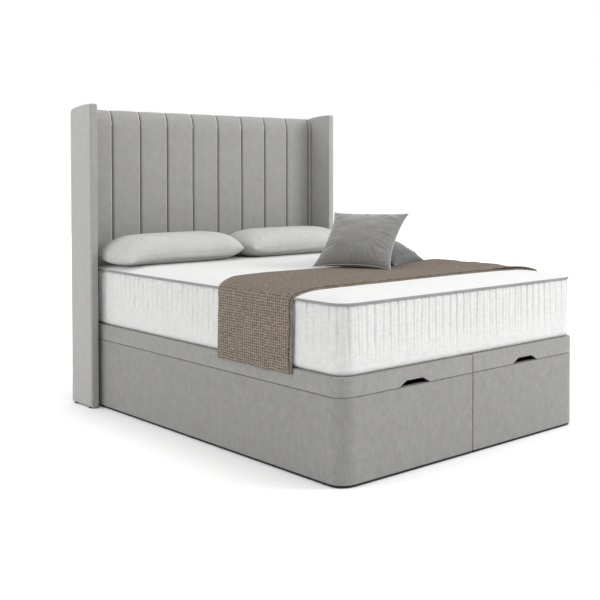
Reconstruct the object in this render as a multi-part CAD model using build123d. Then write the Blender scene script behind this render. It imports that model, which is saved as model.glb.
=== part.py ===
from build123d import *
from math import asin, atan2, cos, degrees, hypot, radians, sin
import os

# Storage bed made of two half bases whose lids lift at the foot end, with a winged
# channelled headboard, a mattress and its dressing. Millimetres, +Z up. The origin is at
# the middle of the whole bed on the floor, the foot end faces -Y and the headboard is at +Y.
# "Left" is -X and "right" is +X.

# Base
base_width = 1500
base_length = 2000
corner_radius = 76
glide_height = 17
box_height = 333
lid_height = 76
split_gap = 1.6
cover_thickness = 2
panel_thickness = 18
floor_thickness = 12
lid_board_thickness = 9
lid_rail_shares = [0.24, 0.49]

# Clearances
seat_gap = 0.3
fit_gap = 0.4
pin_gap = 0.05
bolt_gap = 0.2
overrun = 5

# Hand holds in the lower edge of each lid
hand_hold_place = 355
hand_hold_low_width = 178
hand_hold_high_width = 96
hand_hold_height = 24
hand_hold_bend = 9
liner_thickness = 2

# Headboard and wings
headboard_height = 1534
headboard_foot_gap = 5
pad_crest = 34
pad_edge = 26
pad_rest_gap = 5
channel_count = 9
edge_pad_width = 18.1
channel_low = 400
lower_pad_thickness = 28
face_board_thickness = 12
frame_depth = 25
frame_stile_width = 70
frame_rail_height = 100
back_cloth = 2
wing_height = 1553
wing_depth = 220
wing_thickness = 40
wing_gap = 20.5
wing_board_thickness = 18
wing_front_bend = 9
wing_rear_bend = 28
wing_top_radius = 1080
wing_edge_bend = 7
wing_board_margin = 16

# Floor glides
glide_radius = 24
glide_taper = 4
glide_inset = 48
glide_rows = 3
headboard_glide_radius = 18

# Fixings
bolt_radius = 5
bolt_head_radius = 11
bolt_head_height = 5
bolt_height = 118
bolt_place_shares = [0.27, 0.78]
bolt_end_gap = 8
screw_radius = 3
screw_head_radius = 7
wing_screw_head_height = 3
plate_screw_head_height = 1
screw_rows = 4
screw_end_gap = 3
long_strap_screw_shares = [0.2, 0.75]
short_strap_screw_shares = [0.35, 0.75]
link_plate_length = 120
link_plate_width = 40
link_plate_thickness = 2.5
link_plate_inset = 150

# Lid mechanism: pivot places, measured back from the head end of the base, with heights
# above the storage floor for the pivots on the box and above the parting line on the lid
rear_arm_base_back = 463
rear_arm_base_rise = 105
rear_arm_lid_back = 140
rear_arm_lid_rise = 44
front_arm_base_back = 801
front_arm_base_rise = 31
front_arm_lid_back = 269
front_arm_lid_rise = 20.5
strut_reach = 296
strut_angle = 0.956
arm_thickness = 5
arm_half_width = 15
hinge_plate_thickness = 3
hinge_plate_half_width = 22
plane_gap = 1.6
stud_radius = 5
stud_rim = 4
stud_cap_thickness = 1.8
open_stud_radius = 4
open_pivot_play = 6
bracket_margin = 34
bracket_edge_gap = 2
strut_tube_radius = 11
strut_bore_radius = 9
strut_rod_radius = 5
strut_piston_length = 12
strut_gland_length = 8
strut_eye_radius = 9
strut_pin_radius = 4
strut_eye_width = 12
strut_neck_radius = 5
strut_neck_length = 20
strut_rod_end_length = 32
strut_play = 0.3

# Mattress
mattress_inset = 8
mattress_height = 284
mattress_foot_radius = 78
mattress_head_radius = 60
crown_insets = [0, 30, 80, 150]
crown_rises = [0, 9, 17, 22]
crown_bend_shares = [1, 0.8, 0.5, 0.25]
piping_height = 6
piping_width = 4

# Throw over the foot half of the bed: cloth folded once, so that two layers lie together
throw_layer = 5
throw_drop = 305
throw_layer_step = 14
throw_edge_rise = 1.2
throw_hang_gap = 0.8
throw_hang_flare = 3
throw_hang_shares = [0.72, 0.4, 0]
throw_across_shares = [-0.72, -0.4, -0.14, 0.14, 0.4, 0.72]
# Each pair: place across the bed as a share of half its width, then how far from the foot
# end as a share of its length
throw_front_pair_shares = [(-1, 0.15), (-0.8, 0.165), (0.2, 0.165), (1, 0.173)]
throw_rear_pair_shares = [(-1, 0.398), (-0.67, 0.56), (-0.13, 0.605), (0.2, 0.56),
                          (0.76, 0.515), (1, 0.5)]

# Pillows: the two fill the bed between the wings
pillow_wing_gap = 29.5
pillow_depth = 414
pillow_thickness = 152
pillow_gap = 6
pillow_rest_gap = 30
pillow_tilt = 9
pillow_end_thickness = 16
pillow_rise_share = 0.36
pillow_nose_share = 0.8
pillow_place_shares = [-0.5, -0.46, -0.36, -0.15, 0.15, 0.36, 0.46, 0.5]
pillow_depth_shares = [0.86, 0.9, 0.96, 1, 1, 0.96, 0.9, 0.86]
pillow_swell_shares = [0, 0.36, 0.76, 1, 1, 0.76, 0.36, 0]

# Scatter cushions with a square seam and drawn-in sides. A place is measured across from
# the middle of the bed and back from the foot end, a turn and a lean are in degrees
cushion_edge = 8
cushion_place_shares = [-0.5, -0.44, -0.3, -0.1, 0.1, 0.3, 0.44, 0.5]
cushion_swell_shares = [0, 0.3, 0.7, 1, 1, 0.7, 0.3, 0]
cushion_width_shares = [1, 0.96, 0.93, 0.91, 0.91, 0.93, 0.96, 1]
front_cushion_side = 400
front_cushion_thickness = 128
front_cushion_across = 126
front_cushion_back = 853
front_cushion_turn_angle = -61.4
front_cushion_lean_angle = 50.4
rear_cushion_side = 360
rear_cushion_thickness = 96
rear_cushion_across = 338
rear_cushion_back = 943
rear_cushion_turn_angle = 20.7
rear_cushion_lean_angle = 68.8
drop_height = 60
settle_steps = 10

# Derived places
overall_length = (base_length + pad_rest_gap + pad_crest + face_board_thickness
                  + frame_depth + back_cloth)
foot_y = -overall_length / 2
back_y = overall_length / 2
head_y = foot_y + base_length
crest_y = head_y + pad_rest_gap
board_y = crest_y + pad_crest
frame_y = board_y + face_board_thickness
cloth_y = frame_y + frame_depth
parting_z = glide_height + box_height
lid_low = parting_z + seat_gap
lid_top = parting_z + lid_height
lid_under = lid_top - cover_thickness - lid_board_thickness
floor_top = glide_height + floor_thickness
half_middle = (base_width + split_gap) / 4
wall_x = base_width / 2 - cover_thickness - panel_thickness
wing_inner_x = base_width / 2 + wing_gap
wing_outer_x = wing_inner_x + wing_thickness
channel_width = 2 * (wing_inner_x - edge_pad_width) / channel_count
frame_top = headboard_height - pad_crest
pillow_length = wing_inner_x - pillow_wing_gap - pillow_gap / 2
mattress_half = base_width / 2 - mattress_inset
mattress_low = lid_top + seat_gap
mattress_edge_z = mattress_low + mattress_height

rear_base = (head_y - rear_arm_base_back, floor_top + rear_arm_base_rise)
rear_lid = (head_y - rear_arm_lid_back, parting_z + rear_arm_lid_rise)
front_base = (head_y - front_arm_base_back, floor_top + front_arm_base_rise)
front_lid = (head_y - front_arm_lid_back, parting_z + front_arm_lid_rise)
rear_arm_angle = atan2(rear_lid[1] - rear_base[1], rear_lid[0] - rear_base[0])
strut_top = (rear_base[0] + strut_reach * cos(rear_arm_angle),
             rear_base[1] + strut_reach * sin(rear_arm_angle))
strut_foot = (rear_base[0] + strut_reach * cos(rear_arm_angle - strut_angle),
              rear_base[1] + strut_reach * sin(rear_arm_angle - strut_angle))

# Depths of the mechanism's layers, measured inwards from the wall of the box
front_arm_depth = hinge_plate_thickness + plane_gap
rear_arm_depth = front_arm_depth + arm_thickness + stud_cap_thickness + 2 * plane_gap
strut_depth = rear_arm_depth + arm_thickness + plane_gap + strut_tube_radius
diagonal_share = cos(radians(45))


def block(x0, x1, y0, y1, z0, z1):
    corner = (Align.MIN, Align.MIN, Align.MIN)
    return Pos(x0, y0, z0) * Box(x1 - x0, y1 - y0, z1 - z0, align=corner)


def rod(start, end, radius):
    axis = Vector(*end) - Vector(*start)
    base = (Align.CENTER, Align.CENTER, Align.MIN)
    return Plane(origin=start, z_dir=axis.normalized()) * Cylinder(radius, axis.length, align=base)


def group(solids):
    return Compound(children=[solid for piece in solids for solid in piece.solids()])


def both_sides(shape):
    return group([shape, mirror(shape, about=Plane.YZ)])


def both_walls(shape):
    twin = mirror(shape, about=Plane.YZ.offset(half_middle))
    return group([shape, twin])


# Half base: outline, boards and cover of the right half


def half_plan(inset):
    near_x = split_gap / 2 + inset
    far_x = base_width / 2 - inset
    front = foot_y + inset
    rear = head_y - inset
    bend = corner_radius - inset
    sides = [
        Line((near_x, front), (far_x - bend, front)),
        JernArc((far_x - bend, front), (1, 0), bend, 90),
        Line((far_x, front + bend), (far_x, rear)),
        Line((far_x, rear), (near_x, rear)),
        Line((near_x, rear), (near_x, front)),
    ]
    return make_face(Curve() + sides)


def half_ring(inset, thickness, low, high):
    ring = half_plan(inset) - half_plan(inset + thickness)
    return extrude(Pos(0, 0, low) * ring, high - low)


def bolt_places():
    return [base_width / 2 * share for share in bolt_place_shares]


def bolt_holes():
    radius = bolt_radius + bolt_gap
    return [rod((x, wall_inner_y() - overrun, bolt_height),
                (x, cloth_y - bolt_end_gap + bolt_gap, bolt_height), radius)
            for x in bolt_places()]


def wall_inner_y():
    return head_y - cover_thickness - panel_thickness


def box_walls():
    return half_ring(cover_thickness, panel_thickness, glide_height, parting_z - cover_thickness)


def wall_region(name):
    low, high = glide_height - overrun, parting_z + overrun
    bend_y = foot_y + corner_radius
    near_x = split_gap / 2 + cover_thickness + panel_thickness
    regions = {
        "foot_panel": (0, base_width, foot_y - overrun, bend_y, low, high),
        "head_panel": (0, base_width, wall_inner_y(), head_y + overrun, low, high),
        "side_panel": (half_middle, base_width, bend_y, wall_inner_y(), low, high),
        "centre_panel": (0, near_x + overrun, bend_y, wall_inner_y(), low, high),
    }
    return block(*regions[name])


def box_panel(name):
    panel = box_walls() & wall_region(name)
    if name == "head_panel":
        panel -= bolt_holes()
    return panel


def storage_floor():
    inset = cover_thickness + panel_thickness + fit_gap
    return extrude(Pos(0, 0, glide_height) * half_plan(inset), floor_thickness)


def base_cover():
    wall = half_ring(0, cover_thickness, glide_height, parting_z - cover_thickness)
    lip = half_ring(0, cover_thickness + panel_thickness, parting_z - cover_thickness, parting_z)
    return wall + lip - bolt_holes()


def floor_glides():
    near_x = split_gap / 2 + glide_inset
    far_x = base_width / 2 - glide_inset
    first_y = foot_y + glide_inset
    step = (base_length - 2 * glide_inset) / (glide_rows - 1)
    glide = Cone(glide_radius - glide_taper, glide_radius, glide_height,
                 align=(Align.CENTER, Align.CENTER, Align.MIN))
    return [Pos(x, first_y + row * step, 0) * glide
            for x in (near_x, far_x) for row in range(glide_rows)]


def linking_plates():
    half_length, half_width = link_plate_length / 2, link_plate_width / 2
    return group([block(-half_length, half_length, y - half_width, y + half_width,
                        glide_height - link_plate_thickness, glide_height)
                  for y in (foot_y + link_plate_inset, head_y - link_plate_inset)])


# Lid of the right half


def hand_hold(shrink, start_y, end_y):
    low = hand_hold_low_width / 2 - shrink
    high = hand_hold_high_width / 2 - shrink
    top = hand_hold_height - shrink
    slope = (low - high) / top
    points = [(-low - slope * overrun, -overrun), (low + slope * overrun, -overrun),
              (high, top), (-high, top)]
    outline = make_face(Polyline(*points, close=True))
    outline = fillet(outline.vertices().sort_by(Axis.Y)[-2:], hand_hold_bend)
    face = Plane(origin=(hand_hold_place, start_y, lid_low), x_dir=(1, 0, 0), z_dir=(0, -1, 0))
    return extrude(face * outline, amount=end_y - start_y, dir=(0, 1, 0))


def hand_hold_cut():
    return hand_hold(0, foot_y - overrun, foot_y + corner_radius)


def lid_frame():
    rails = half_ring(cover_thickness, panel_thickness, lid_low, lid_under)
    near_x = split_gap / 2 + cover_thickness + panel_thickness
    for share in lid_rail_shares:
        y = foot_y + base_length * share
        rails += block(near_x, wall_x, y, y + panel_thickness, lid_low, lid_under)
    return rails - hand_hold_cut()


def lid_board():
    return extrude(Pos(0, 0, lid_under) * half_plan(cover_thickness), lid_board_thickness)


def lid_cover():
    wall = half_ring(0, cover_thickness, lid_low, lid_top - cover_thickness)
    sheet = extrude(Pos(0, 0, lid_top - cover_thickness) * half_plan(0), cover_thickness)
    return wall + sheet - hand_hold_cut()


def hand_hold_liner():
    start_y = foot_y + seat_gap
    end_y = foot_y + cover_thickness + panel_thickness
    outer = hand_hold(0, start_y, end_y)
    inner = hand_hold(liner_thickness, start_y - overrun, end_y + overrun)
    low_trim = block(0, base_width, foot_y - overrun, end_y + overrun, 0, lid_low)
    return outer - inner - low_trim


# Lid mechanism, written for the outer wall of the right half


def strap(p, q, depth, thickness, half_width):
    length = hypot(q[0] - p[0], q[1] - p[1])
    angle = atan2(q[1] - p[1], q[0] - p[0])
    middle = (wall_x - depth - thickness, (p[0] + q[0]) / 2, (p[1] + q[1]) / 2)
    plane = Plane(origin=middle, x_dir=(0, cos(angle), sin(angle)), z_dir=(1, 0, 0))
    return extrude(plane * SlotCenterToCenter(length, 2 * half_width), amount=thickness)


def cross_pin(place, depth, end_depth, radius):
    return rod((wall_x - depth, *place), (wall_x - end_depth, *place), radius)


def stud(place, arm_depth, width, radius, play=0):
    # A shoulder holds the arm off the plate and a riveted cap keeps it on
    rim_radius = radius + play + stud_rim
    shank_end = arm_depth + width + seat_gap
    shoulder = cross_pin(place, hinge_plate_thickness, arm_depth - seat_gap, rim_radius)
    shank = cross_pin(place, hinge_plate_thickness, shank_end, radius)
    cap = cross_pin(place, shank_end, shank_end + stud_cap_thickness, rim_radius)
    return shoulder + shank + cap


def hinge_plates():
    plate = strap(front_base, rear_base, 0, hinge_plate_thickness, hinge_plate_half_width)
    plate += strap(rear_base, strut_foot, 0, hinge_plate_thickness, hinge_plate_half_width)
    plate += stud(front_base, front_arm_depth, arm_thickness, stud_radius)
    plate += stud(rear_base, rear_arm_depth, arm_thickness, stud_radius)
    eye_depth = strut_depth - strut_eye_width / 2
    plate += stud(strut_foot, eye_depth, strut_eye_width, strut_pin_radius)
    return both_walls(plate - plate_screw_shanks(bolt_gap))


def lid_brackets():
    low = lid_low + bracket_edge_gap
    high = lid_under - bracket_edge_gap
    bracket = block(wall_x - hinge_plate_thickness, wall_x,
                    front_lid[0] - bracket_margin, rear_lid[0] + bracket_margin, low, high)
    bracket += stud(front_lid, front_arm_depth, arm_thickness, open_stud_radius, open_pivot_play)
    bracket += stud(rear_lid, rear_arm_depth, arm_thickness, stud_radius)
    return both_walls(bracket)


def front_arms():
    arm = strap(front_base, front_lid, front_arm_depth, arm_thickness, arm_half_width)
    end = front_arm_depth + arm_thickness + overrun
    arm -= cross_pin(front_base, 0, end, stud_radius + pin_gap)
    arm -= cross_pin(front_lid, 0, end, open_stud_radius + open_pivot_play)
    return both_walls(arm)


def rear_arms():
    arm = strap(rear_base, rear_lid, rear_arm_depth, arm_thickness, arm_half_width)
    end = rear_arm_depth + arm_thickness + overrun
    arm -= cross_pin(rear_base, 0, end, stud_radius + pin_gap)
    arm -= cross_pin(rear_lid, 0, end, stud_radius + pin_gap)
    inner = rear_arm_depth + arm_thickness
    eye_start = strut_depth - strut_eye_width / 2
    eye_end = strut_depth + strut_eye_width / 2
    arm += cross_pin(strut_top, inner, eye_start - seat_gap, strut_eye_radius)
    arm += cross_pin(strut_top, inner, eye_end + seat_gap, strut_pin_radius)
    arm += cross_pin(strut_top, eye_end + seat_gap, eye_end + seat_gap + stud_cap_thickness,
                     strut_eye_radius)
    return both_walls(arm)


def strut_length():
    return hypot(strut_top[0] - strut_foot[0], strut_top[1] - strut_foot[1])


def along_strut(t):
    share = t / strut_length()
    return (wall_x - strut_depth,
            strut_foot[0] + share * (strut_top[0] - strut_foot[0]),
            strut_foot[1] + share * (strut_top[1] - strut_foot[1]))


def strut_eye(place):
    half = strut_eye_width / 2
    return cross_pin(place, strut_depth - half, strut_depth + half, strut_eye_radius)


def strut_eye_hole(place):
    return cross_pin(place, 0, strut_depth + strut_tube_radius + overrun,
                     strut_pin_radius + pin_gap)


def strut_cylinders():
    mouth = strut_length() - strut_rod_end_length
    tube = rod(along_strut(strut_neck_length), along_strut(mouth), strut_tube_radius)
    bore_start = strut_neck_length + strut_gland_length
    tube -= rod(along_strut(bore_start), along_strut(mouth - strut_gland_length),
                strut_bore_radius)
    tube -= rod(along_strut(bore_start), along_strut(mouth + overrun),
                strut_rod_radius + strut_play)
    tube += rod(along_strut(0), along_strut(strut_neck_length), strut_neck_radius)
    tube += strut_eye(strut_foot)
    return both_walls(tube - strut_eye_hole(strut_foot))


def strut_rods():
    start = strut_neck_length + strut_gland_length + strut_piston_length / 2
    piston = rod(along_strut(start), along_strut(start + strut_piston_length),
                 strut_bore_radius - strut_play)
    shaft = rod(along_strut(start), along_strut(strut_length()), strut_rod_radius)
    shaft += strut_eye(strut_top)
    return both_walls(piston + shaft - strut_eye_hole(strut_top))


def between(p, q, share):
    return (p[0] + share * (q[0] - p[0]), p[1] + share * (q[1] - p[1]))


def plate_screw_places():
    places = [between(rear_base, front_base, share) for share in long_strap_screw_shares]
    return places + [between(rear_base, strut_foot, share) for share in short_strap_screw_shares]


def plate_screw_shanks(gap):
    end = panel_thickness - screw_end_gap
    return [cross_pin(place, hinge_plate_thickness + gap, -end - gap, screw_radius + gap)
            for place in plate_screw_places()]


def plate_screws():
    head_end = hinge_plate_thickness + plate_screw_head_height
    heads = [cross_pin(place, hinge_plate_thickness, head_end, screw_head_radius)
             for place in plate_screw_places()]
    screws = [shank + head for shank, head in zip(plate_screw_shanks(0), heads)]
    return both_walls(group(screws))


def drilled(panel):
    shanks = plate_screw_shanks(bolt_gap)
    twins = [mirror(shank, about=Plane.YZ.offset(half_middle)) for shank in shanks]
    return panel - shanks - twins


# Headboard


def channel_pad(left_x, right_x):
    # The pad's section runs up the board, over its rounded top edge and back over the frame
    crest = (left_x + right_x) / 2
    outline = Curve() + [
        Line((right_x, board_y), (left_x, board_y)),
        Line((left_x, board_y), (left_x, board_y - pad_edge)),
        ThreePointArc((left_x, board_y - pad_edge), (crest, crest_y),
                      (right_x, board_y - pad_edge)),
        Line((right_x, board_y - pad_edge), (right_x, board_y)),
    ]
    section = Pos(0, 0, channel_low) * make_face(outline)
    turn_low = (crest, board_y, frame_top - face_board_thickness)
    turn_high = (crest, frame_y, frame_top)
    turn_middle = (crest, frame_y - face_board_thickness * diagonal_share,
                   frame_top - face_board_thickness * (1 - diagonal_share))
    path = Wire([
        Line((crest, board_y, channel_low), turn_low),
        ThreePointArc(turn_low, turn_middle, turn_high),
        Line(turn_high, (crest, back_y, frame_top)),
    ])
    return sweep(section, path=path)


def channel_edges():
    start = -channel_count * channel_width / 2
    return [start + number * channel_width for number in range(channel_count + 1)]


def face_board():
    bend = face_board_thickness
    low = headboard_foot_gap
    outline = Curve() + [
        Line((board_y, low), (board_y, frame_top - bend)),
        JernArc((board_y, frame_top - bend), (0, 1), bend, -90),
        Line((frame_y, frame_top), (frame_y, low)),
        Line((frame_y, low), (board_y, low)),
    ]
    board = extrude(side_plane(-wing_inner_x) * make_face(outline), amount=2 * wing_inner_x)
    return board - both_sides(group(bolt_holes())).solids()


def side_plane(x):
    # Drawing plane that faces +X: its first axis is Y and its second is Z
    return Plane(origin=(x, 0, 0), x_dir=(0, 1, 0), z_dir=(1, 0, 0))


def headboard_layer(front_y, rear_y, low, high):
    return block(-wing_inner_x, wing_inner_x, front_y, rear_y, low, high)


def lower_pad():
    pad = headboard_layer(board_y - lower_pad_thickness, board_y, headboard_foot_gap, channel_low)
    return pad - both_sides(group(bolt_holes())).solids()


def headboard_frame():
    low = headboard_foot_gap
    half_rail = frame_rail_height / 2
    frame = headboard_layer(frame_y, cloth_y, frame_top - frame_rail_height, frame_top)
    for z in (bolt_height, (low + frame_top) / 2):
        frame += headboard_layer(frame_y, cloth_y, z - half_rail, z + half_rail)
    for x in (-wing_inner_x, -frame_stile_width / 2, wing_inner_x - frame_stile_width):
        frame += block(x, x + frame_stile_width, frame_y, cloth_y, low, frame_top)
    holes = both_sides(group(bolt_holes() + wing_screw_shanks(bolt_gap)))
    return frame - holes.solids()


def back_cover():
    return headboard_layer(cloth_y, back_y, headboard_foot_gap, frame_top)


def headboard_bolts():
    head_start = wall_inner_y() - bolt_head_height
    collar_end = board_y - lower_pad_thickness
    bolts = []
    for x in bolt_places():
        bolt = rod((x, head_start, bolt_height), (x, cloth_y - bolt_end_gap, bolt_height),
                   bolt_radius)
        bolt += rod((x, head_start, bolt_height), (x, wall_inner_y(), bolt_height),
                    bolt_head_radius)
        bolt += rod((x, head_y, bolt_height), (x, collar_end, bolt_height), bolt_head_radius)
        bolts.append(bolt)
    return both_sides(group(bolts))


def wing_outline(margin):
    # Side view of the wing: its top falls away to the rear in one long arc
    front = back_y - wing_depth + margin
    rear = back_y - margin
    top = wing_height - margin
    radius = wing_top_radius - margin
    length = rear - front - wing_front_bend - wing_rear_bend
    fall = degrees(asin(length / (radius - wing_rear_bend)))
    rise = Line((front, headboard_foot_gap), (front, top - wing_front_bend))
    front_arc = JernArc(rise @ 1, (0, 1), wing_front_bend, -90)
    top_arc = JernArc(front_arc @ 1, front_arc % 1, radius, -fall)
    rear_arc = JernArc(top_arc @ 1, top_arc % 1, wing_rear_bend, fall - 90)
    drop = Line(rear_arc @ 1, (rear, headboard_foot_gap))
    base = Line((rear, headboard_foot_gap), (front, headboard_foot_gap))
    return make_face(Curve() + [rise, front_arc, top_arc, rear_arc, drop, base])


def wing_board():
    x = (wing_inner_x + wing_outer_x - wing_board_thickness) / 2
    return extrude(side_plane(x) * wing_outline(wing_board_margin), amount=wing_board_thickness)


def wing_cover():
    cover = extrude(side_plane(wing_inner_x) * wing_outline(0), amount=wing_thickness)
    inner_face = cover.faces().sort_by(Axis.X)[0]
    outer_face = cover.faces().sort_by(Axis.X)[-1]
    edges = inner_face.edges() + outer_face.edges()
    upper = [edge for edge in edges if edge.bounding_box().max.Z > frame_rail_height]
    cover = fillet(upper, wing_edge_bend)
    return cover - wing_board() - wing_screw_shanks(bolt_gap)


def wing_screw_shanks(gap):
    # Rows of screws from the inner side of the outer stile into the wing's board
    start_x = wing_inner_x - frame_stile_width - gap
    end_x = (wing_inner_x + wing_outer_x + wing_board_thickness) / 2 - screw_end_gap + gap
    y = (frame_y + cloth_y) / 2
    low = bolt_height + frame_rail_height
    step = (frame_top - frame_rail_height - screw_head_radius - screw_end_gap - low)
    step /= screw_rows - 1
    return [rod((start_x, y, low + row * step), (end_x, y, low + row * step), screw_radius + gap)
            for row in range(screw_rows)]


def wing_screws():
    stile_x = wing_inner_x - frame_stile_width
    screws = []
    for shank in wing_screw_shanks(0):
        place = shank.center()
        screws.append(shank + rod((stile_x - wing_screw_head_height, place.Y, place.Z),
                                  (stile_x, place.Y, place.Z), screw_head_radius))
    return both_sides(group(screws))


def headboard_glides():
    glide = Cylinder(headboard_glide_radius, headboard_foot_gap,
                     align=(Align.CENTER, Align.CENTER, Align.MIN))
    wing_x = (wing_inner_x + wing_outer_x) / 2
    edge = headboard_glide_radius + wing_board_margin
    return [Pos(wing_x, y, 0) * glide for y in (back_y - wing_depth + edge, back_y - edge)]


# Mattress and dressing


def mattress_plan(inset, bend_share, height):
    front = foot_y + mattress_inset + inset
    rear = head_y - mattress_inset - inset
    side = mattress_half - inset
    foot_bend = mattress_foot_radius * bend_share
    head_bend = mattress_head_radius * bend_share
    edges = Curve() + [
        Line((-side + foot_bend, front), (side - foot_bend, front)),
        JernArc((side - foot_bend, front), (1, 0), foot_bend, 90),
        Line((side, front + foot_bend), (side, rear - head_bend)),
        JernArc((side, rear - head_bend), (0, 1), head_bend, 90),
        Line((side - head_bend, rear), (-side + head_bend, rear)),
        JernArc((-side + head_bend, rear), (-1, 0), head_bend, 90),
        Line((-side, rear - head_bend), (-side, front + foot_bend)),
        JernArc((-side, front + foot_bend), (0, -1), foot_bend, 90),
    ]
    return Pos(0, 0, height) * make_face(edges)


def mattress():
    border = extrude(mattress_plan(0, 1, mattress_low), mattress_height)
    piping = extrude(mattress_plan(-piping_width, 1, mattress_edge_z - piping_height),
                     piping_height)
    layers = [mattress_plan(inset, bend_share, mattress_edge_z + rise)
              for inset, rise, bend_share in zip(crown_insets, crown_rises, crown_bend_shares)]
    return border + piping + loft(layers, ruled=True)


def throw_half_path():
    # Inner line of the cloth from the flat middle of the bed out over the right edge and
    # down its side: place across the bed, height
    path = [(mattress_half - inset, mattress_edge_z + rise + seat_gap)
            for inset, rise in zip(crown_insets[:0:-1], crown_rises[:0:-1])]
    path.append((mattress_half + piping_width + throw_hang_gap,
                 mattress_edge_z + throw_edge_rise))
    hang_x = base_width / 2 + throw_hang_gap
    top = mattress_edge_z - piping_height
    path.append((hang_x, top))
    bottom = mattress_edge_z - throw_drop
    path += [(hang_x + (1 - share) * throw_hang_flare, bottom + share * (top - bottom))
             for share in throw_hang_shares]
    return path


def throw_path():
    half = throw_half_path()
    flat_x, flat_z = half[0]
    left = [(-x, z) for x, z in reversed(half)]
    middle = [(share * flat_x, flat_z) for share in throw_across_shares]
    return left + middle + half


def share_at(pairs, place):
    for (start, start_share), (end, end_share) in zip(pairs, pairs[1:]):
        if place <= end:
            return start_share + (end_share - start_share) * (place - start) / (end - start)
    return pairs[-1][1]


def throw_section(before, place, after):
    run = Vector(after[0] - before[0], 0, after[1] - before[1]).normalized()
    normal = Vector(-run.Z, 0, run.X)
    across_share = max(-1, place[0] / (base_width / 2))
    front = foot_y + share_at(throw_front_pair_shares, across_share) * base_length
    rear = foot_y + share_at(throw_rear_pair_shares, across_share) * base_length
    step = front + throw_layer_step
    outline = [(front, 0), (rear, 0), (rear, 2 * throw_layer), (step, 2 * throw_layer),
               (step, throw_layer), (front, throw_layer)]
    points = [Vector(place[0], y, place[1]) + normal * rise for y, rise in outline]
    return make_face(Polyline(*points, close=True))


def throw():
    # Cloth folded once: two layers lie together, and the lower one shows at the front edge
    path = throw_path()
    befores = path[:1] + path[:-1]
    afters = path[1:] + path[-1:]
    return loft([throw_section(*places) for places in zip(befores, path, afters)], ruled=True)


def pillow_section(place, depth, thickness):
    # Two long flat arcs joined by two short nose arcs, each under half a circle
    rise = pillow_rise_share * thickness
    nose = depth / 2
    side = nose - pillow_nose_share * rise
    crest = thickness / 2
    edges = Curve() + [
        ThreePointArc((-side, rise), (0, crest), (side, rise)),
        ThreePointArc((side, rise), (nose, 0), (side, -rise)),
        ThreePointArc((side, -rise), (0, -crest), (-side, -rise)),
        ThreePointArc((-side, -rise), (-nose, 0), (-side, rise)),
    ]
    return side_plane(place) * make_face(edges)


def pillow(supports):
    swell = pillow_thickness - pillow_end_thickness
    sections = [pillow_section(place * pillow_length, depth * pillow_depth,
                               pillow_end_thickness + share * swell)
                for place, depth, share in zip(pillow_place_shares, pillow_depth_shares,
                                               pillow_swell_shares)]
    shape = Rot(pillow_tilt, 0, 0) * loft(sections)
    rear_y = crest_y - pillow_rest_gap
    top_z = mattress_edge_z + crown_rises[-1]
    place = Pos((pillow_length + pillow_gap) / 2, rear_y - shape.bounding_box().max.Y,
                top_z + pillow_thickness)
    return settle(place * shape, supports)


def knife_cushion(side, thickness):
    # The seam lies in the XY plane of the cushion and the faces swell along Z
    swell = (thickness - cushion_edge) / 2
    sections = []
    for place, swell_share, width_share in zip(cushion_place_shares, cushion_swell_shares,
                                               cushion_width_shares):
        half = side * width_share / 2
        rise = cushion_edge / 2 + swell_share * swell
        edges = Curve() + [
            ThreePointArc((-half, 0), (0, rise), (half, 0)),
            ThreePointArc((half, 0), (0, -rise), (-half, 0)),
        ]
        sections.append(side_plane(place * side) * make_face(edges))
    return loft(sections)


def leaning_cushion(side, thickness, across, back, turn, lean, supports):
    shape = Rot(0, 0, turn) * Rot(90 - lean, 0, 0) * knife_cushion(side, thickness)
    top_z = mattress_edge_z + crown_rises[-1] + 2 * throw_layer
    height = top_z - shape.bounding_box().min.Z + drop_height
    return settle(Pos(across, foot_y + back, height) * shape, supports)


def settle(piece, supports):
    # Lower a soft piece until only the seat gap is left under it
    for _ in range(settle_steps):
        space = min(piece.distance_to(support) for support in supports)
        piece = Pos(0, 0, seat_gap - space) * piece
    return piece


def right_half():
    return {
        "foot_panel": box_panel("foot_panel"),
        "head_panel": box_panel("head_panel"),
        "side_panel": drilled(box_panel("side_panel")),
        "centre_panel": drilled(box_panel("centre_panel")),
        "storage_floor": storage_floor(),
        "base_cover": base_cover(),
        "lid_frame": lid_frame(),
        "lid_board": lid_board(),
        "lid_cover": lid_cover(),
        "hand_hold_liner": hand_hold_liner(),
        "lid_brackets": lid_brackets(),
        "front_arms": front_arms(),
        "rear_arms": rear_arms(),
        "strut_cylinders": strut_cylinders(),
        "strut_rods": strut_rods(),
        "wing_board": wing_board() - wing_screw_shanks(bolt_gap),
        "wing_cover": wing_cover(),
    }


def shared_pieces():
    edges = channel_edges()
    pieces = {f"channel_pad_{number + 1}": channel_pad(edges[number], edges[number + 1])
              for number in range(channel_count)}
    pieces["edge_pads"] = both_sides(channel_pad(edges[-1], wing_inner_x))
    pieces["headboard_face_board"] = face_board()
    pieces["headboard_lower_pad"] = lower_pad()
    pieces["headboard_frame"] = headboard_frame()
    pieces["headboard_back_cover"] = back_cover()
    pieces["headboard_bolts"] = headboard_bolts()
    pieces["wing_screws"] = wing_screws()
    pieces["floor_glides"] = both_sides(group(floor_glides() + headboard_glides()))
    pieces["linking_plates"] = linking_plates()
    pieces["hinge_plates"] = both_sides(hinge_plates())
    pieces["plate_screws"] = both_sides(plate_screws())
    return pieces


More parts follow.
